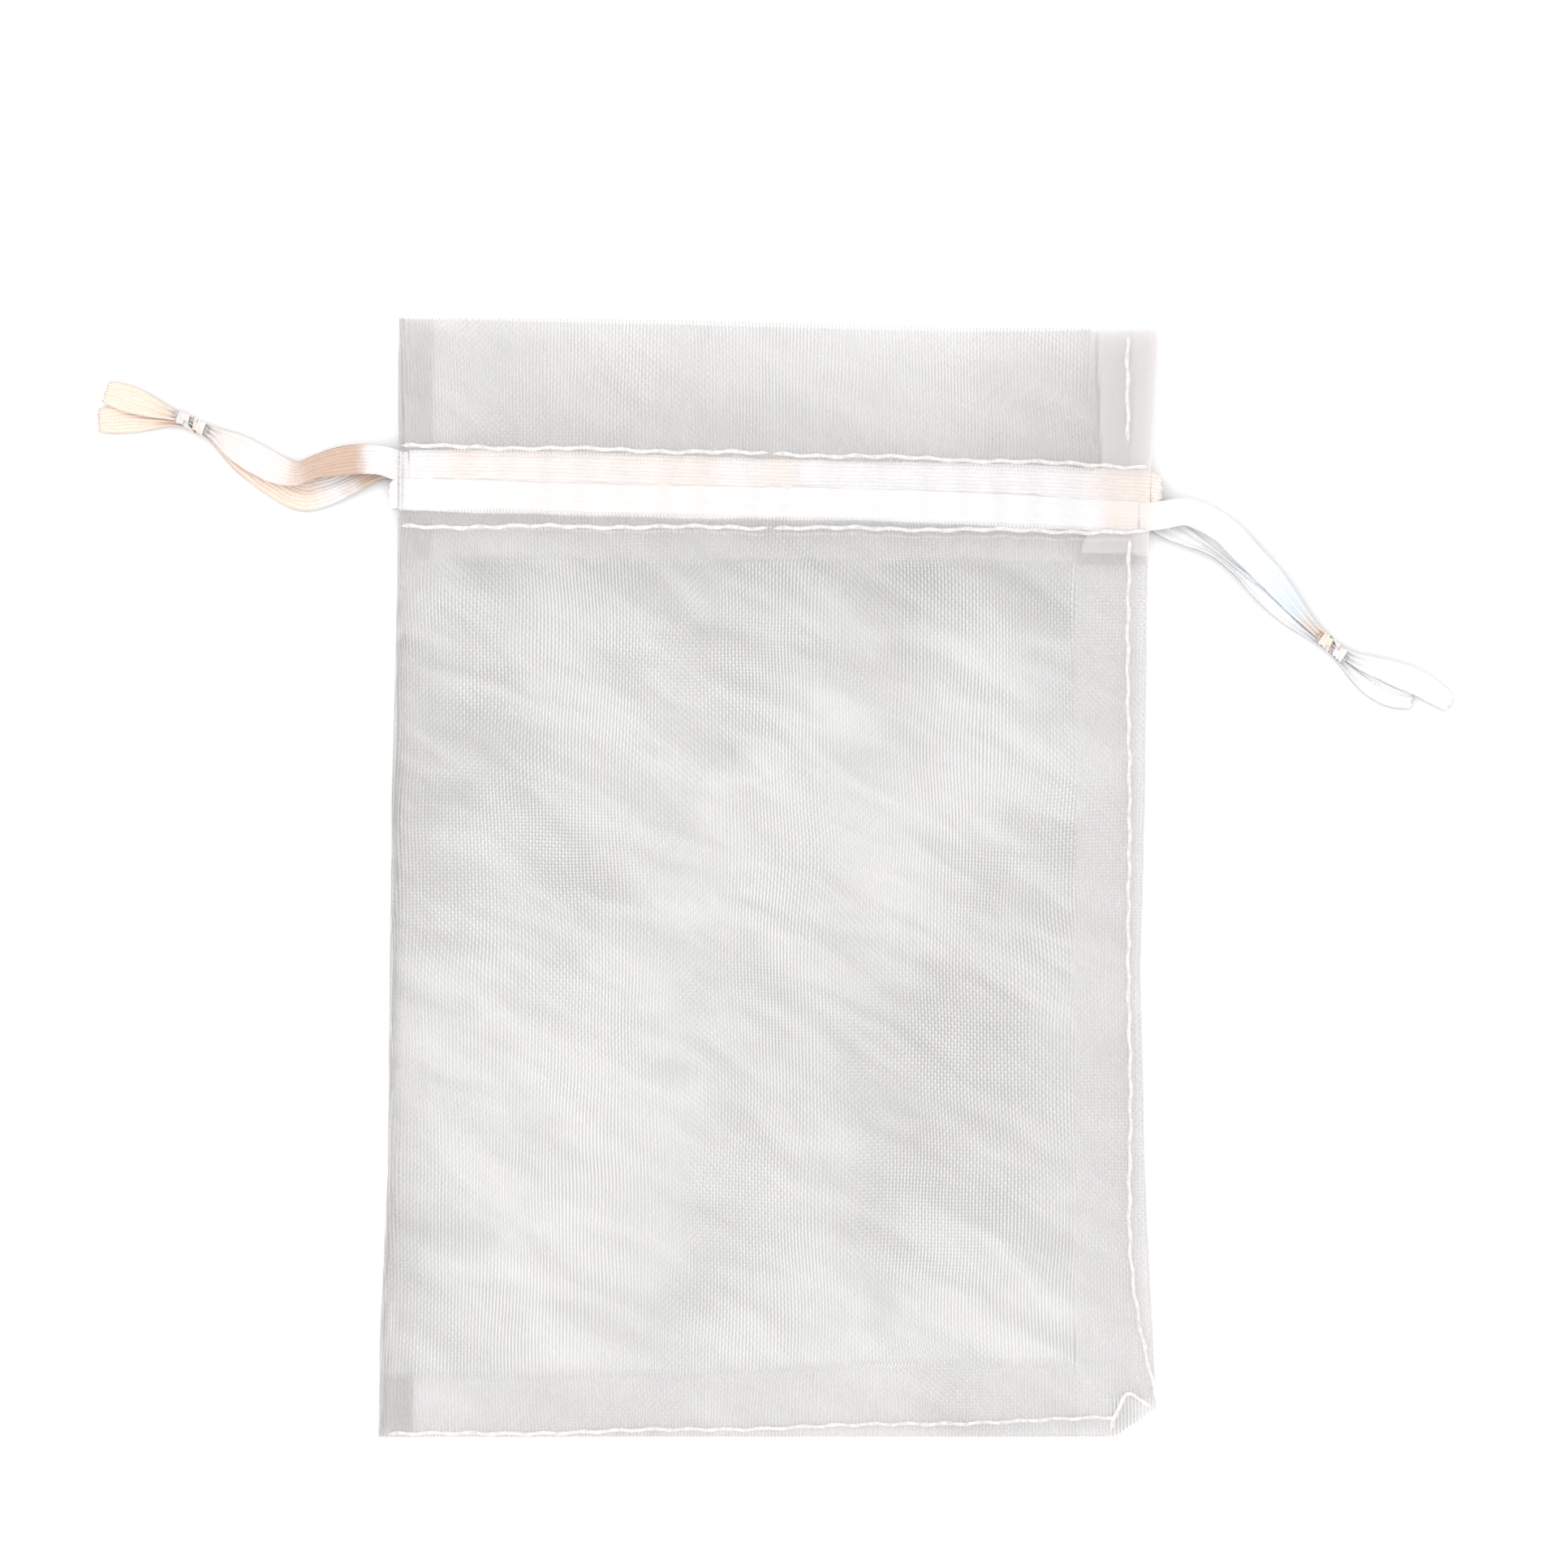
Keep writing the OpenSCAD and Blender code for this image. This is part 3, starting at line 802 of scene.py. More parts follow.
def stitch_row(name, line, settings, material):
    """A row of lockstitches drawn tight along a dense line: one soft low strand that dips at every hole."""
    along = lengths_along(line)
    length = settings.stitch_length / MM
    radius = settings.stitch_radius / MM
    at = np.arange(0, along[-1], length / 6)
    place = np.stack([np.interp(at, along, line[:, k]) for k in range(3)], -1)
    ahead = unit(np.gradient(place, axis=0))
    side = unit(np.cross((0, 0, 1.0), ahead))
    up = np.cross(ahead, side)
    beat = np.abs(np.sin(at / length * math.pi))
    swell = 0.78 + 0.22 * beat ** 0.5 + 0.10 * np.sin(at * 1.7) * np.sin(at * 0.31)
    ends = np.clip(np.minimum(at, at[-1] - at) / 0.8, 0.15, 1)
    half_width = radius * 1.5 * swell * ends
    half_height = radius * 0.85 * (0.6 + 0.4 * beat) * ends
    sway = radius * 0.5 * np.sin(at / length * math.pi)
    middle = place + side * sway[:, None] + up * half_height[:, None]
    around = 8
    points, coordinates = [], []
    for k in range(around):
        angle = 2 * math.pi * k / around
        outward = side * (half_width * math.cos(angle))[:, None]
        upward = up * (half_height * math.sin(angle))[:, None]
        points.append(middle + outward + upward)
        coordinates.append(np.stack([at, 0 * at + angle * radius, 0 * at + abs(math.sin(angle))], -1))
    points = np.stack(points, 1).reshape(-1, 3)
    coordinates = np.stack(coordinates, 1).reshape(-1, 3)
    faces = []
    for j in range(len(at) - 1):
        for k in range(around):
            a, b = j * around + k, j * around + (k + 1) % around
            faces.append((a, b, b + around, a + around))
    faces.append(tuple(range(around))[::-1])
    faces.append(tuple(range((len(at) - 1) * around, len(at) * around)))
    piece = new_mesh(name, points, faces, material, coordinates)
    # The stitches lie among the sheer plies, and cast no shadow either
    piece.visible_shadow = False
    return piece


def make_channel_stitches(settings, material):
    """The two rows that hold each hem, in halves like the cloth."""
    for face, height, offset in (("front", front_z, 0.0), ("back", back_hem_z, -0.9)):
        for row_name, row in (("upper", UPPER_ROW), ("lower", LOWER_ROW)):
            for side, (u0, u1) in SIDES.items():
                u = np.linspace(u0 + 0.004, u1 - 0.004, 240) if side == "left" else np.linspace(u0, u1, 240)
                waver = 0.12 * np.sin(u * 31 + row[0]) + offset * u
                y = row_y(row, u) + waver
                line = np.stack([x_at(u, y), y, height(u, y)], -1)
                piece = stitch_row(f"{face}_{row_name}_stitches_{side}", line, settings, material)
                gather(piece, side, row_name == "lower")
                if side == "left":
                    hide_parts(f"{face}_{row_name}_stitches")


# Outline of the corner that is folded over where the two seams meet, on the plan
CORNER_FLAP = [(44.9, -72.6), (45.5, -70.4), (46.9, -67.8), (48.6, -68.4), (50.6, -69.6)]


def seam_x(y):
    """x of the side seam, which runs out towards the folded corner."""
    run_out = np.clip((-44 - y) / 25, 0, 1)
    return SIDE_SEAM_X + 0.003 * (43 - y) + 3.6 * run_out ** 2 + 0.1 * np.sin(y / 6.0)


def make_seams(settings, material):
    """The seam down the right side, in the body and in the frill, and the one along the bottom."""
    for part, low, high in (("body", BASE_Y + 4.0, 44.6), ("frill", 57.0, TIP_Y - 2.4)):
        y = np.linspace(low, high, 300)
        x = seam_x(y)
        u = 0.5 + 0.5 * (x - MIDDLE_X) / (right_x(y) - MIDDLE_X)
        piece = stitch_row(
            f"side_seam_{part}", np.stack([x, y, front_z(u, y)], -1), settings, material
        )
        gather(piece, "right", part == "body")
        if part == "body":
            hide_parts("side_seam_thread")
    u = np.linspace(0.012, 0.955, 300)
    y = base_y(u) + 0.35 + 2.4 * u ** 1.4 + 0.12 * np.sin(u * 23)
    piece = stitch_row(
        "bottom_seam_stitches", np.stack([x_at(u, y), y, front_z(u, y)], -1), settings, material
    )
    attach(piece, "pouch")
    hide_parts("bottom_seam_thread")
    flap = smooth_route([(*point, 0) for point in CORNER_FLAP])
    flap[:, 2] = BODY_Z + 0.2
    piece = stitch_row("corner_tack", flap, settings, material)
    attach(piece, "pouch")


# ---------------------------------------------------------------- ribbons

RIBBON_THICKNESS = 0.12
# Routes of the free ends, from the edge of the neck to the cut end, as the CAD model has them
ROUTES = {
    "left_ribbon_front_end": [
        (-48.5, 54, 1.8), (-51, 54.8, 1.8), (-55, 54.8, 1.6), (-59, 54, 1.5), (-62, 53, 1.4),
        (-65, 53.8, 1.2), (-69, 56, 1.1), (-73, 58.4, 1), (-76, 60, 1), (-79, 61, 1),
        (-83, 62.5, 0.9), (-87, 63.8, 0.8),
    ],
    "left_ribbon_back_end": [
        (-48.5, 54, 0.6), (-51.5, 53.6, 0.5), (-55, 52, 0.4), (-58.5, 50.6, 0.3), (-61.5, 50.2, 0.3),
        (-65, 52, 0.3), (-69, 55, 0.3), (-73, 58, 0.3), (-76, 59.4, 0.3), (-79, 60, 0.3),
        (-84, 60.2, 0.3), (-88, 60, 0.3),
    ],
    "right_ribbon_front_end": [
        (50.2, 47.4, 1.8), (52, 47.6, 1.8), (54.5, 48, 1.7), (57, 47.2, 1.5), (60, 45.4, 1.3),
        (62.5, 42.8, 1.2), (66, 39.2, 1.1), (69, 35.6, 1), (71.5, 32.8, 1), (74, 30.5, 1),
        (77, 28.6, 1), (81, 27.2, 0.9), (85.5, 25.4, 0.8), (89.5, 22.8, 0.8),
    ],
    "right_ribbon_back_end": [
        (50.2, 47.4, 0.6), (52.5, 46, 0.5), (55, 44.6, 0.4), (58, 42.8, 0.3), (61, 40.4, 0.3),
        (64.5, 37.6, 0.3), (67.5, 35, 0.3), (70.5, 32.4, 0.3), (73.5, 30.2, 0.3), (76, 28, 0.3),
        (79, 25.4, 0.3), (82, 23.8, 0.3), (84.5, 23.4, 0.3),
    ],
}
# How each free end lies: (share of its length, share of its full width, roll in degrees)
LIES = {
    "left_ribbon_front_end": [
        (0, 1, 0), (0.2, 1, 3), (0.27, 0.9, 10), (0.31, 0.72, 18), (0.36, 0.85, 12), (0.45, 1.05, 4),
        (0.55, 1.0, 6), (0.62, 0.62, 12), (0.66, 0.30, 20), (0.77, 0.28, 10), (0.81, 0.5, 6),
        (0.88, 0.85, 4), (0.96, 0.95, 3), (1, 0.7, 3),
    ],
    "left_ribbon_back_end": [
        (0, 0.9, 0), (0.12, 0.8, 10), (0.25, 0.95, 4), (0.42, 1.05, -3), (0.55, 1, -4),
        (0.62, 0.6, 0), (0.66, 0.30, 0), (0.77, 0.28, 0), (0.82, 0.5, -4), (0.88, 0.9, -4),
        (0.97, 0.95, -3), (1, 0.7, -3),
    ],
    "right_ribbon_front_end": [
        (0, 1, 0), (0.12, 0.92, 6), (0.3, 0.95, 8), (0.42, 0.85, 12), (0.52, 0.6, 14),
        (0.58, 0.34, 14), (0.69, 0.30, 8), (0.74, 0.55, 5), (0.85, 0.9, 4), (0.96, 0.8, 6), (1, 0.55, 6),
    ],
    "right_ribbon_back_end": [
        (0, 1, 0), (0.14, 0.75, -12), (0.26, 0.26, -40), (0.34, 0.3, -40), (0.43, 0.72, -22),
        (0.54, 0.7, -12), (0.62, 0.34, 0), (0.74, 0.30, 0), (0.80, 0.6, 0), (0.9, 0.85, -4), (1, 0.6, -4),
    ],
}
KNOTS = {"left": ((-75.8, 59.7, 1.05), 152.0), "right": ((74.0, 30.3, 1.05), -42.0)}
BODIES = {"left": "left_drawstring", "right": "right_drawstring"}
LANES = {"left": LEFT_LANE, "right": RIGHT_LANE}
# Shares of the width between which each ribbon's runs lie, up to where its free ends take over
RUN_SHARES = {"left": (0.015, 1.0), "right": (0.0, 0.985)}
TURN_REACH = {"left": 1.5, "right": 1.1}
# Place along a ribbon at which its back free end leaves the neck
BACK_END_PLACE = 151.0

PEARL = (0.72, 0.72, 0.73)
PALE_PEACH = (0.73, 0.68, 0.65)
CHANNEL_PEACH = (0.74, 0.655, 0.60)
PEACH = (0.80, 0.655, 0.555)
# Peach painted darker where the left ribbon lies in shade: painted shade
PEACH_IN_PAINTED_SHADE = (0.52, 0.375, 0.295)
BLUISH = (0.62, 0.67, 0.72)
# Painted shade: how dark each ribbon's weave is painted between its ribs and in its crossing dashes
RIB_PAINTED_SHADES = {"left": (0.80, 0.76, 0.74, 1), "right": (0.94, 0.94, 0.95, 1)}
# Places along each ribbon, from the cut end of its front to that of its back; x itself in the front run
# On the left ribbon the pearl stop at -68 and those from -52 to -44 are painted highlights, and the darkest
# peach stops painted shade
LEFT_STOPS = [
    (-94, PEACH), (-82, PEACH), (-77, PEARL), (-73, PALE_PEACH), (-68, PEARL), (-64, PALE_PEACH),
    (-61, PEACH_IN_PAINTED_SHADE), (-54, PEACH_IN_PAINTED_SHADE), (-52, PEARL), (-44, PEARL), (-41, CHANNEL_PEACH),
    (-36, PALE_PEACH), (-14, PALE_PEACH), (-11, CHANNEL_PEACH), (-7, PALE_PEACH), (-3, PEARL),
    (1, CHANNEL_PEACH), (5, PEARL), (40, PEARL), (45, CHANNEL_PEACH), (50, CHANNEL_PEACH), (52, PEARL),
    (100, PALE_PEACH), (152, PALE_PEACH), (157, PEACH_IN_PAINTED_SHADE), (161, PEARL), (166, PEACH), (196, PEACH),
]
RIGHT_STOPS = [
    (-152, PEARL), (-60, PEARL), (-52, PALE_PEACH), (-44, PEARL), (-30, PALE_PEACH), (20, PEARL),
    (42, PEARL), (46, CHANNEL_PEACH), (51, PALE_PEACH), (54, PEARL), (74, BLUISH), (80, PEACH), (84, PEARL),
    (100, PEARL),
]


class Ribbon:
    """Points, faces and coordinates of flat bands with thickness, gathered into one mesh."""

    def __init__(self):
        self.points, self.faces, self.coordinates = [], [], []

    def band(self, centre, side, normal, width, along, pleats=0.0, across_width=None, fray=0.0):
        """width is the band's own at each place; pleats is how far it folds up where it is bunched."""
        columns = 15
        c = np.linspace(-1, 1, columns)
        full = np.asarray(width if across_width is None else across_width)
        full = np.broadcast_to(full, (len(centre),))
        width = np.broadcast_to(np.asarray(width, float), (len(centre),))
        pleats = np.broadcast_to(np.asarray(pleats, float), (len(centre),))
        ends = np.zeros((len(centre), columns))
        ends[-1] = fray * (np.sin(c * 9.0) + 0.6 * np.sin(c * 23.0 + 1.0))
        travel = unit(np.gradient(centre, axis=0))
        middle = (
            centre[:, None]
            + side[:, None] * (width[:, None] / 2 * c[None])[..., None]
            + normal[:, None] * (pleats[:, None] * np.cos(c * 2.5 * math.pi)[None])[..., None]
            + travel[:, None] * ends[..., None]
        )
        edge = RIBBON_THICKNESS / 2 * (1 - 0.55 * np.abs(c) ** 6)
        for sign in (1, -1):
            start = len(self.points)
            layer = middle + normal[:, None] * (sign * edge)[None, :, None]
            self.points.extend(layer.reshape(-1, 3))
            cut = np.stack(
                np.broadcast_arrays(along[:, None], c[None] * full[:, None] / 2, float(sign)), -1
            )
            self.coordinates.extend(cut.reshape(-1, 3))
            self.faces.extend(grid_faces(len(centre), columns, start, flip=sign > 0))
            if sign > 0:
                top = start
        bottom = start
        rows = len(centre)
        rim = [i * columns for i in range(rows)]
        rim += [(rows - 1) * columns + j for j in range(1, columns)]
        rim += [i * columns + columns - 1 for i in range(rows - 2, -1, -1)]
        rim += [j for j in range(columns - 2, 0, -1)]
        for a, b in zip(rim, rim[1:] + rim[:1]):
            self.faces.append((top + a, top + b, bottom + b, bottom + a))

    def piece(self, name, material, slot):
        made = new_mesh(name, self.points, self.faces, material, self.coordinates)
        return made


def lane_point(side, face, u):
    """A place on the middle of a ribbon's run through the channel."""
    lift = {"left": -0.075, "right": 0.075}[side]
    y = row_y(LANES[side], u) + 0.16 * np.sin(u * 9 + {"left": 0, "right": 2}[side])
    if face == "front":
        z = RIBBON_FRONT_Z + lift + loft(u, y) + front_wrinkles(u, y)
    else:
        z = RIBBON_BACK_Z + lift * 0.6 + 0 * y
    return np.stack([x_at(u, y), y, z], -1)


def free_end(name, settings, material, slot, side):
    """A ribbon's free end: out of the neck, through its knot and on to its cut end."""
    face = "front" if "front" in name else "back"
    inside = lane_point(side, face, np.array(RUN_SHARES[side][side == "right"]))
    centre = smooth_route([inside, *ROUTES[name]])
    s = lengths_along(centre)
    share = s / s[-1]
    lie = np.array(LIES[name])
    ease = np.interp(share, lie[:, 0], lie[:, 1])
    ease = np.minimum(np.convolve(np.pad(ease, 4, "edge"), np.ones(9) / 9, "valid"), 1.0)
    roll = np.interp(share, lie[:, 0], lie[:, 2])
    roll = np.radians(np.convolve(np.pad(roll, 4, "edge"), np.ones(9) / 9, "valid"))
    full = settings.ribbon_width / MM
    width = full * ease
    ahead = unit(np.gradient(centre, axis=0))
    level = unit(np.stack([-ahead[:, 1], ahead[:, 0], 0 * s], -1))
    up = np.cross(ahead, level)
    across = level * np.cos(roll)[:, None] + up * np.sin(roll)[:, None]
    normal = np.cross(ahead, across)
    pleats = 0.04 + 0.38 * (1 - ease) ** 1.2
    lowest = width / 2 * np.abs(np.sin(roll)) + pleats + RIBBON_THICKNESS
    centre[:, 2] = np.maximum(centre[:, 2], lowest)
    away = 1 if side == "right" else -1
    along = centre[0, 0] + away * s if "front" in name else -away * (BACK_END_PLACE + s)
    made = Ribbon()
    made.band(centre, across, normal, width, along, pleats, full, 0.1)
    piece = made.piece(f"{name}_satin", material, slot)
    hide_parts(name)
    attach(piece, BODIES[side])
    return piece, centre


def channel_run(name, side, face, settings, material, slot):
    """The stretch of a ribbon inside one channel; the front run gets its own copy of its mesh."""
    u = np.linspace(*RUN_SHARES[side], 260)
    centre = lane_point(side, face, u)
    x = centre[:, 0]
    if face == "front":
        along = x
    else:
        along = 52 + (50.2 - x) if side == "left" else -52 - (x + 48.6)
    ahead = unit(np.gradient(centre, axis=0))
    across = unit(np.stack([-ahead[:, 1], ahead[:, 0], 0 * x], -1))
    width = settings.ribbon_width / MM * (1.1 + 0.05 * np.sin(x * 0.31 + 1) * np.sin(x * 0.13))
    made = Ribbon()
    made.band(centre, across, np.cross(ahead, across), width, along, 0.05)
    piece = made.piece(f"{name}_satin", material, slot)
    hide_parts(name)
    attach(piece, BODIES[side])
    # The run casts no shadow, so that the cloth round it and under it stays light
    piece.visible_shadow = False
    if face == "front":
        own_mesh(piece)
    return piece


def neck_turn(side, settings, material, slot):
    """The half loop in which a ribbon goes round the far edge of the neck."""
    far_u = np.array({"left": 1.0, "right": 0.0}[side])
    out = 1 if side == "left" else -1
    x, y, top = lane_point(side, "front", far_u)
    bottom = lane_point(side, "back", far_u)[2]
    turn = np.linspace(0, math.pi, 24)
    radius = (top - bottom) / 2
    bulge = 1 + 0.25 * np.sin(turn)
    centre = np.stack([
        x + out * TURN_REACH[side] * np.sin(turn) ** 0.8,
        y - 0.25 * np.sin(turn),
        (top + bottom) / 2 + radius * np.cos(turn) * bulge,
    ], -1)
    ahead = unit(np.gradient(centre, axis=0))
    across = np.broadcast_to(np.array([0.0, 1.0, 0.0]), centre.shape)
    along = out * (50.2 if side == "left" else 48.6) + out * lengths_along(centre) * 0.5
    made = Ribbon()
    made.band(
        centre, across, np.cross(ahead, across), settings.ribbon_width / MM * (1 - 0.3 * np.sin(turn) ** 3),
        along, 0.1 * np.sin(turn)
    )
    name = f"{side}_ribbon_turn"
    piece = made.piece(f"{name}_satin", material, slot)
    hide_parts(name)
    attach(piece, BODIES[side])
    return piece


def knot(side, material, slot):
    """Both ends of a ribbon tied together: a bunched core with two passes of ribbon round it."""
    place, degrees = KNOTS[side]
    place = np.array(place)
    angle = math.radians(degrees)
    axis = np.array([math.cos(angle), math.sin(angle), 0.0])
    level = np.array([-axis[1], axis[0], 0.0])
    up = np.array([0.0, 0.0, 1.0])
    along_at = {"left": -77.0, "right": 82.0}[side]
    made = Ribbon()
    for turn_start, shift, radius in ((0.3, -0.75, 0.66), (2.6, 0.75, 0.60)):
        turns = np.linspace(turn_start, turn_start + 2 * math.pi * 1.08, 60)
        t = np.linspace(-1, 1, 60)
        radial = level * np.cos(turns)[:, None] + up * np.sin(turns)[:, None]
        r = radius + 0.10 * np.cos(2 * turns) + 0.04 * (t + 1)
        centre = place + axis * (shift + 0.6 * t)[:, None] + radial * r[:, None]
        across = unit(axis[None] + 0.55 * np.cross(axis[None], radial))
        made.band(centre, across, radial, 2.3 - 0.5 * t ** 2, along_at + t * 3, 0.07, 3.4)
    t = np.linspace(-1, 1, 40)
    centre = place + axis * (t * 2.5)[:, None] + up * (0.05 * np.sin(t * 5))[:, None]
    for roll in (0.0, 1.2, 2.4):
        across = level[None] * math.cos(roll) + up[None] * math.sin(roll) + 0 * centre
        normal = np.cross(axis[None] + 0 * centre, across)
        made.band(centre, across, normal, 1.35 - 0.3 * t ** 2, along_at + t * 2.4, 0.12, 3.4)
    piece = made.piece(f"{side}_knot_satin", material, slot)
    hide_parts(f"{side}_knot")
    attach(piece, BODIES[side])
    return piece


def make_ribbon(side, settings, material):
    """One drawstring: front and back runs, the turn, both free ends, and their knot."""
    slot = {"left": "peach_ribbon", "right": "pearl_ribbon"}[side]
    tied = knot(side, material, slot)
    for face in ("front", "back"):
        channel_run(f"{side}_ribbon_{face}_run", side, face, settings, material, slot)
        piece, path = free_end(f"{side}_ribbon_{face}_end", settings, material, slot, side)
        float(lengths_along(path)[-1]) * MM
    neck_turn(side, settings, material, slot)


# ---------------------------------------------------------------- stage

# The camera looks straight down at this point, and sees this width at the surface
VIEW_CENTRE = (2.0, 12.3)
VIEW_WIDTH = 206.0
CAMERA_HEIGHT = 0.80


def add_light(name, size, power, place, target):
    data = bpy.data.lights.new(name, "AREA")
    data.shape = "DISK"
    data.size = size
    data.energy = power
    light = bpy.data.objects.new(name, data)
    light.location = place
    light.rotation_euler = (Vector(target) - Vector(place)).to_track_quat("-Z", "Y").to_euler()
    light.visible_camera = False
    bpy.context.scene.collection.objects.link(light)
    return light


def make_stage(settings):
    scene = bpy.context.scene
    scene.view_settings.view_transform = "Standard"
    camera_data = bpy.data.cameras.new("camera")
    camera_data.sensor_width = 36.0
    camera_data.lens = 36.0 * CAMERA_HEIGHT / (VIEW_WIDTH * MM)
    camera_data.clip_start = 0.01
    camera = bpy.data.objects.new("camera", camera_data)
    camera.location = (VIEW_CENTRE[0] * MM, VIEW_CENTRE[1] * MM, CAMERA_HEIGHT)
    scene.collection.objects.link(camera)
    scene.camera = camera

    material, shader = new_material("pale_floor")
    set_input(material, shader, "Base Color", (*settings.floor_colour, 1))
    set_input(material, shader, "Roughness", 0.9)
    set_input(material, shader, "Specular IOR Level", 0.0)
    reach = 3.0
    mesh = bpy.data.meshes.new("floor")
    corners = [(-reach, -reach, 0), (reach, -reach, 0), (reach, reach, 0), (-reach, reach, 0)]
    mesh.from_pydata([(x, y, -0.00005) for x, y, _ in corners], [], [(0, 1, 2, 3)])
    mesh.materials.append(material)
    floor = bpy.data.objects.new("floor", mesh)
    scene.collection.objects.link(floor)

    world = bpy.data.worlds.new("studio")
    world.use_nodes = True
    background = world.node_tree.nodes["Background"]
    background.inputs["Color"].default_value = (1.0, 1.0, 1.0, 1)
    background.inputs["Strength"].default_value = settings.world_strength
    scene.world = world
    middle = (0, 0, 0)
    add_light("key", 0.35, settings.key_power, (-0.55, 0.45, 0.45), middle)
    add_light("fill", 0.60, settings.key_power * 0.35, (0.6, -0.5, 0.6), middle)


# ---------------------------------------------------------------- add-on


def colour_setting(name, description, default):
    return bpy.props.FloatVectorProperty(
        name=name, description=description, default=default, min=0.0, max=1.0, subtype="COLOR"
    )


def length_setting(name, description, default, lowest, highest):
    return bpy.props.FloatProperty(
        name=name, description=description, default=default, min=lowest, max=highest, unit="LENGTH"
    )


class POUCH_PG_settings(bpy.types.PropertyGroup):
    """Sizes and colours of the pouch."""

    thread_pitch: length_setting(
        "Thread Pitch", "Distance between the threads of the organza", 0.00045, 0.0001, 0.002
    )
    thread_cover: bpy.props.FloatProperty(
        name="Thread Cover", description="How much the organza's threads hide",
        default=0.60, min=0.0, max=1.0, subtype="FACTOR",
    )
    base_cover: bpy.props.FloatProperty(
        name="Base Cover", description="How much the cloth hides between its threads",
        default=0.12, min=0.0, max=1.0, subtype="FACTOR",
    )
    organza_colour: colour_setting(
        "Organza", "Colour of the organza's lit threads", (0.80, 0.795, 0.785)
    )
    # Lit and shaded copies of the threads' colour: the shade one is painted shade on the weave
    organza_painted_shade: colour_setting(
        "Organza Shade", "Colour of the organza's threads in their own shade", (0.24, 0.235, 0.23)
    )
    pale_colour: colour_setting(
        "Pale Organza", "Colour of the organza where plies lie pressed together", (0.78, 0.76, 0.76)
    )
    veil_colour: colour_setting(
        "Veiled Organza", "Colour of the organza where many plies are sewn together", (0.68, 0.65, 0.645)
    )
    edge_colour: colour_setting(
        "Organza Edge", "Colour of the organza seen edge on, along its fold", (0.46, 0.42, 0.39)
    )
    thread_colour: colour_setting("Thread", "Colour of the sewing thread", (0.80, 0.775, 0.76))
    stitch_length: length_setting(
        "Stitch Length", "Length of one stitch", 0.0024, 0.001, 0.005
    )
    stitch_radius: length_setting(
        "Stitch Radius", "Radius of the sewing thread where it stands out", 0.0002, 0.00005, 0.0005
    )
    ribbon_width: length_setting(
        "Ribbon Width", "Width of each ribbon", 0.0039, 0.002, 0.006
    )
    rib_pitch: length_setting(
        "Rib Pitch", "Distance between the ribs that run along a ribbon", 0.00048, 0.0001, 0.002
    )
    floor_colour: colour_setting("Floor", "Colour of the floor", (0.78, 0.78, 0.78))
    world_strength: bpy.props.FloatProperty(
        name="Surround", description="Brightness of the even light from all round",
        default=1.43, min=0.0, max=5.0,
    )
    key_power: bpy.props.FloatProperty(
        name="Key Light", description="Power of the soft light from the upper left",
        default=1.8, min=0.0, max=100.0, unit="POWER",
    )


def shared_material(name, make):
    return bpy.data.materials.get(name) or make()


def organza(settings):
    return shared_material("sheer_organza", lambda: organza_material(settings))


def thread(settings):
    return shared_material("soft_thread", lambda: thread_material(settings))


class MESH_OT_pouch_stage(bpy.types.Operator):
    """Make the camera, the floor and the soft studio light"""

    bl_idname = "mesh.pouch_stage"
    bl_label = "Stage"

    def execute(self, context):
        make_stage(context.scene.pouch)
        return {"FINISHED"}


class MESH_OT_pouch_ribbons(bpy.types.Operator):
    """Make both satin drawstrings with their turns, free ends and knots"""

    bl_idname = "mesh.pouch_ribbons"
    bl_label = "Ribbons"

    def execute(self, context):
        settings = context.scene.pouch
        for side, stops in (("left", LEFT_STOPS), ("right", RIGHT_STOPS)):
            material = ribbon_material(f"{side}_satin", stops, RIB_PAINTED_SHADES[side], settings)
            make_ribbon(side, settings, material)
        return {"FINISHED"}


class MESH_OT_pouch_panels(bpy.types.Operator):
    """Make the front and back panels"""

    bl_idname = "mesh.pouch_panels"
    bl_label = "Panels"

    def execute(self, context):
        make_panels(organza(context.scene.pouch))
        return {"FINISHED"}


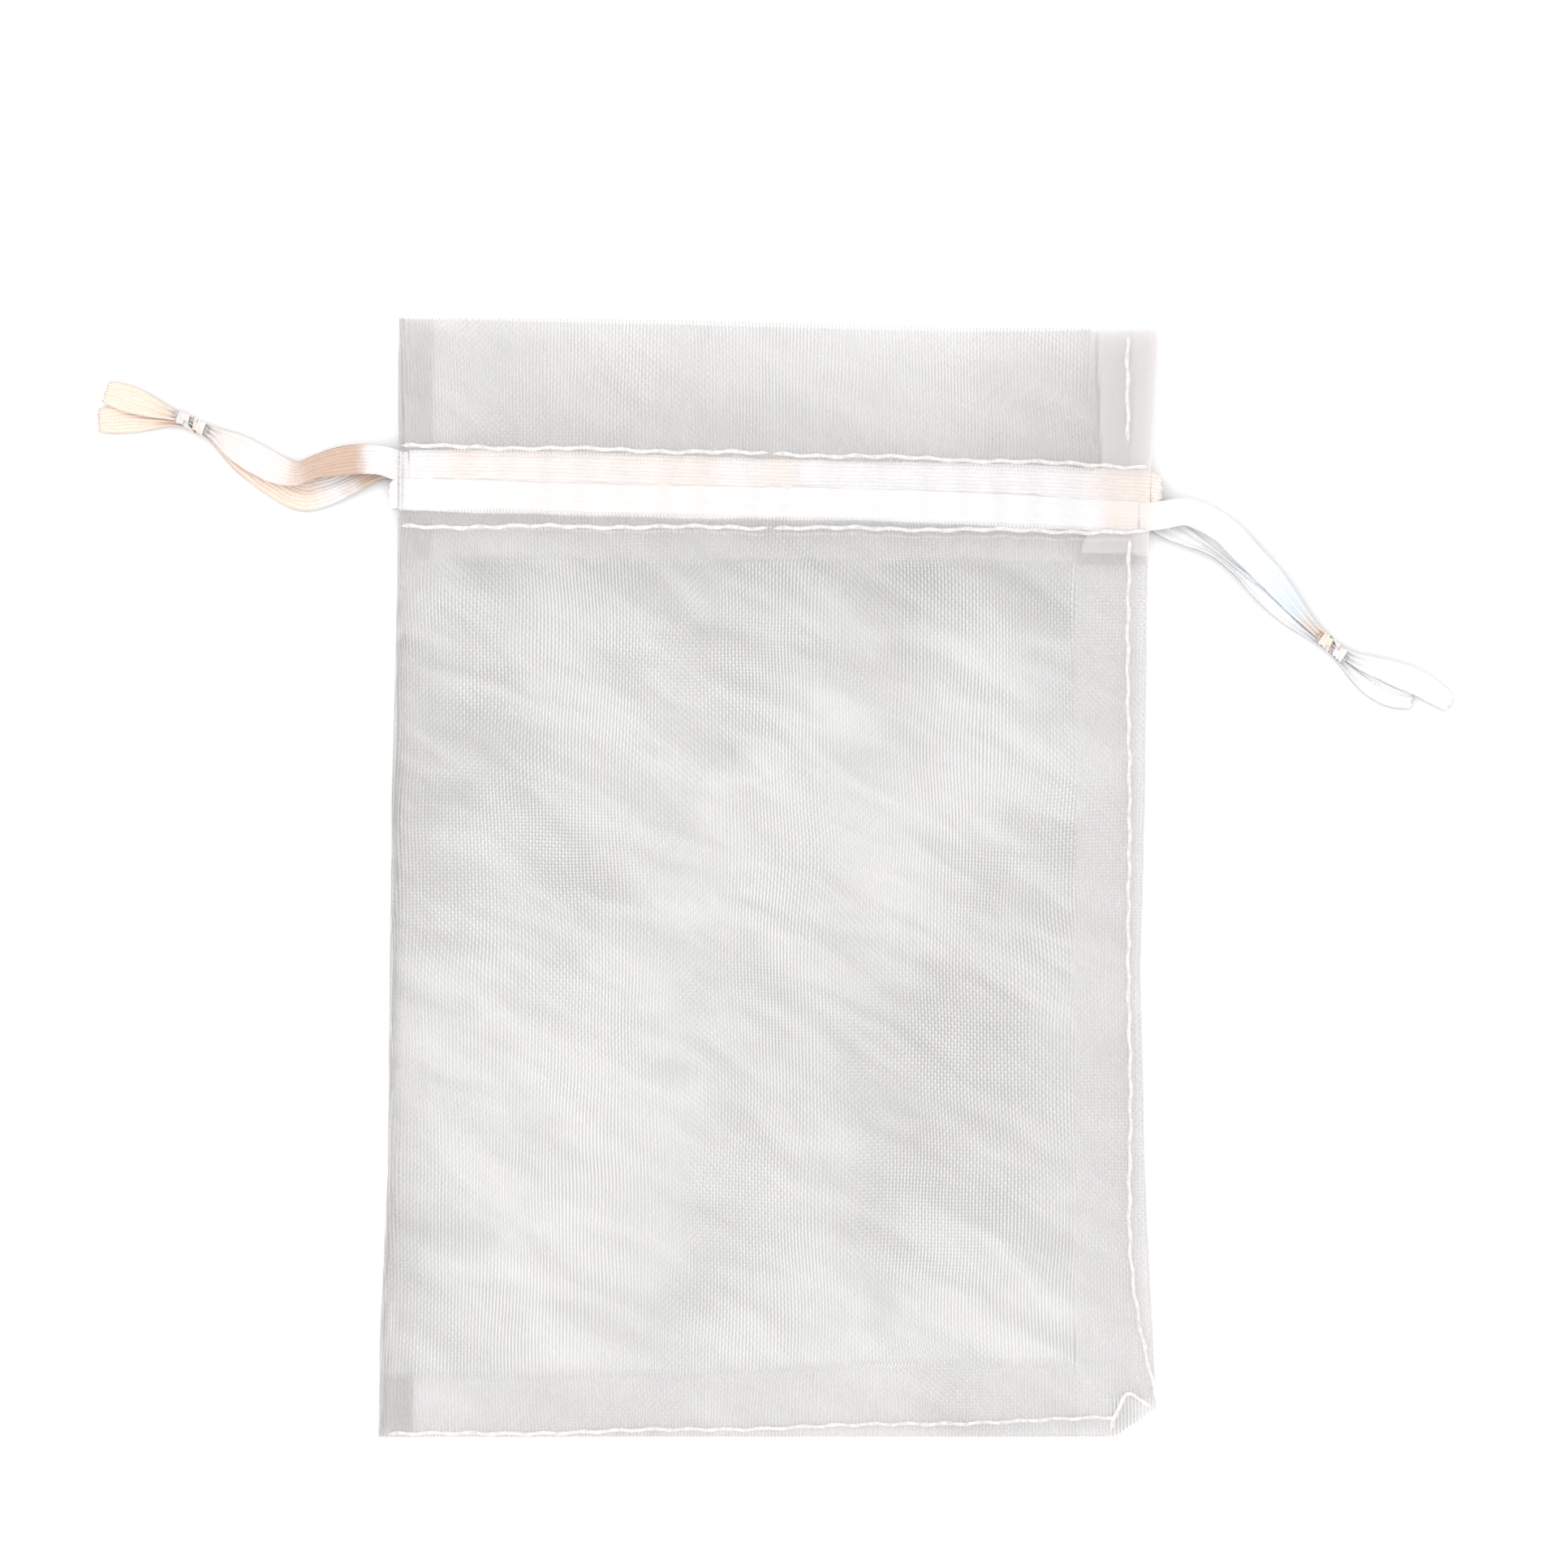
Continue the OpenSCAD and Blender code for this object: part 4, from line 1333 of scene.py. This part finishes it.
class MESH_OT_pouch_hems(bpy.types.Operator):
    """Make the deep hems inside the mouth"""

    bl_idname = "mesh.pouch_hems"
    bl_label = "Hems"

    def execute(self, context):
        make_hems(organza(context.scene.pouch))
        return {"FINISHED"}


class MESH_OT_pouch_edges(bpy.types.Operator):
    """Make the fold on the left and the seam allowances on the right and along the bottom"""

    bl_idname = "mesh.pouch_edges"
    bl_label = "Fold and Allowances"

    def execute(self, context):
        material = organza(context.scene.pouch)
        make_side_fold(material)
        make_side_allowances(material)
        make_bottom_allowances(material)
        return {"FINISHED"}


class MESH_OT_pouch_stitches(bpy.types.Operator):
    """Make the channel's rows of stitches and the seams"""

    bl_idname = "mesh.pouch_stitches"
    bl_label = "Stitches"

    def execute(self, context):
        settings = context.scene.pouch
        make_channel_stitches(settings, thread(settings))
        make_seams(settings, thread(settings))
        return {"FINISHED"}


OPERATORS = (
    MESH_OT_pouch_stage,
    MESH_OT_pouch_ribbons,
    MESH_OT_pouch_panels,
    MESH_OT_pouch_hems,
    MESH_OT_pouch_edges,
    MESH_OT_pouch_stitches,
)


class VIEW3D_PT_pouch(bpy.types.Panel):
    """Sizes and pieces of the pouch"""

    bl_label = "Organza Pouch"
    bl_space_type = "VIEW_3D"
    bl_region_type = "UI"
    bl_category = "Pouch"

    def draw(self, context):
        layout = self.layout
        for name in POUCH_PG_settings.__annotations__:
            layout.prop(context.scene.pouch, name)
        for operator in OPERATORS:
            layout.operator(operator.bl_idname)


CLASSES = (POUCH_PG_settings, *OPERATORS, VIEW3D_PT_pouch)


def register():
    for cls in CLASSES:
        bpy.utils.register_class(cls)
    bpy.types.Scene.pouch = bpy.props.PointerProperty(type=POUCH_PG_settings)


def unregister():
    del bpy.types.Scene.pouch
    for cls in reversed(CLASSES):
        bpy.utils.unregister_class(cls)


def main():
    register()
    bpy.ops.mesh.pouch_stage()
    bpy.ops.mesh.pouch_ribbons()
    bpy.ops.mesh.pouch_panels()
    bpy.ops.mesh.pouch_hems()
    bpy.ops.mesh.pouch_edges()
    bpy.ops.mesh.pouch_stitches()


if __name__ == "__main__":
    main()
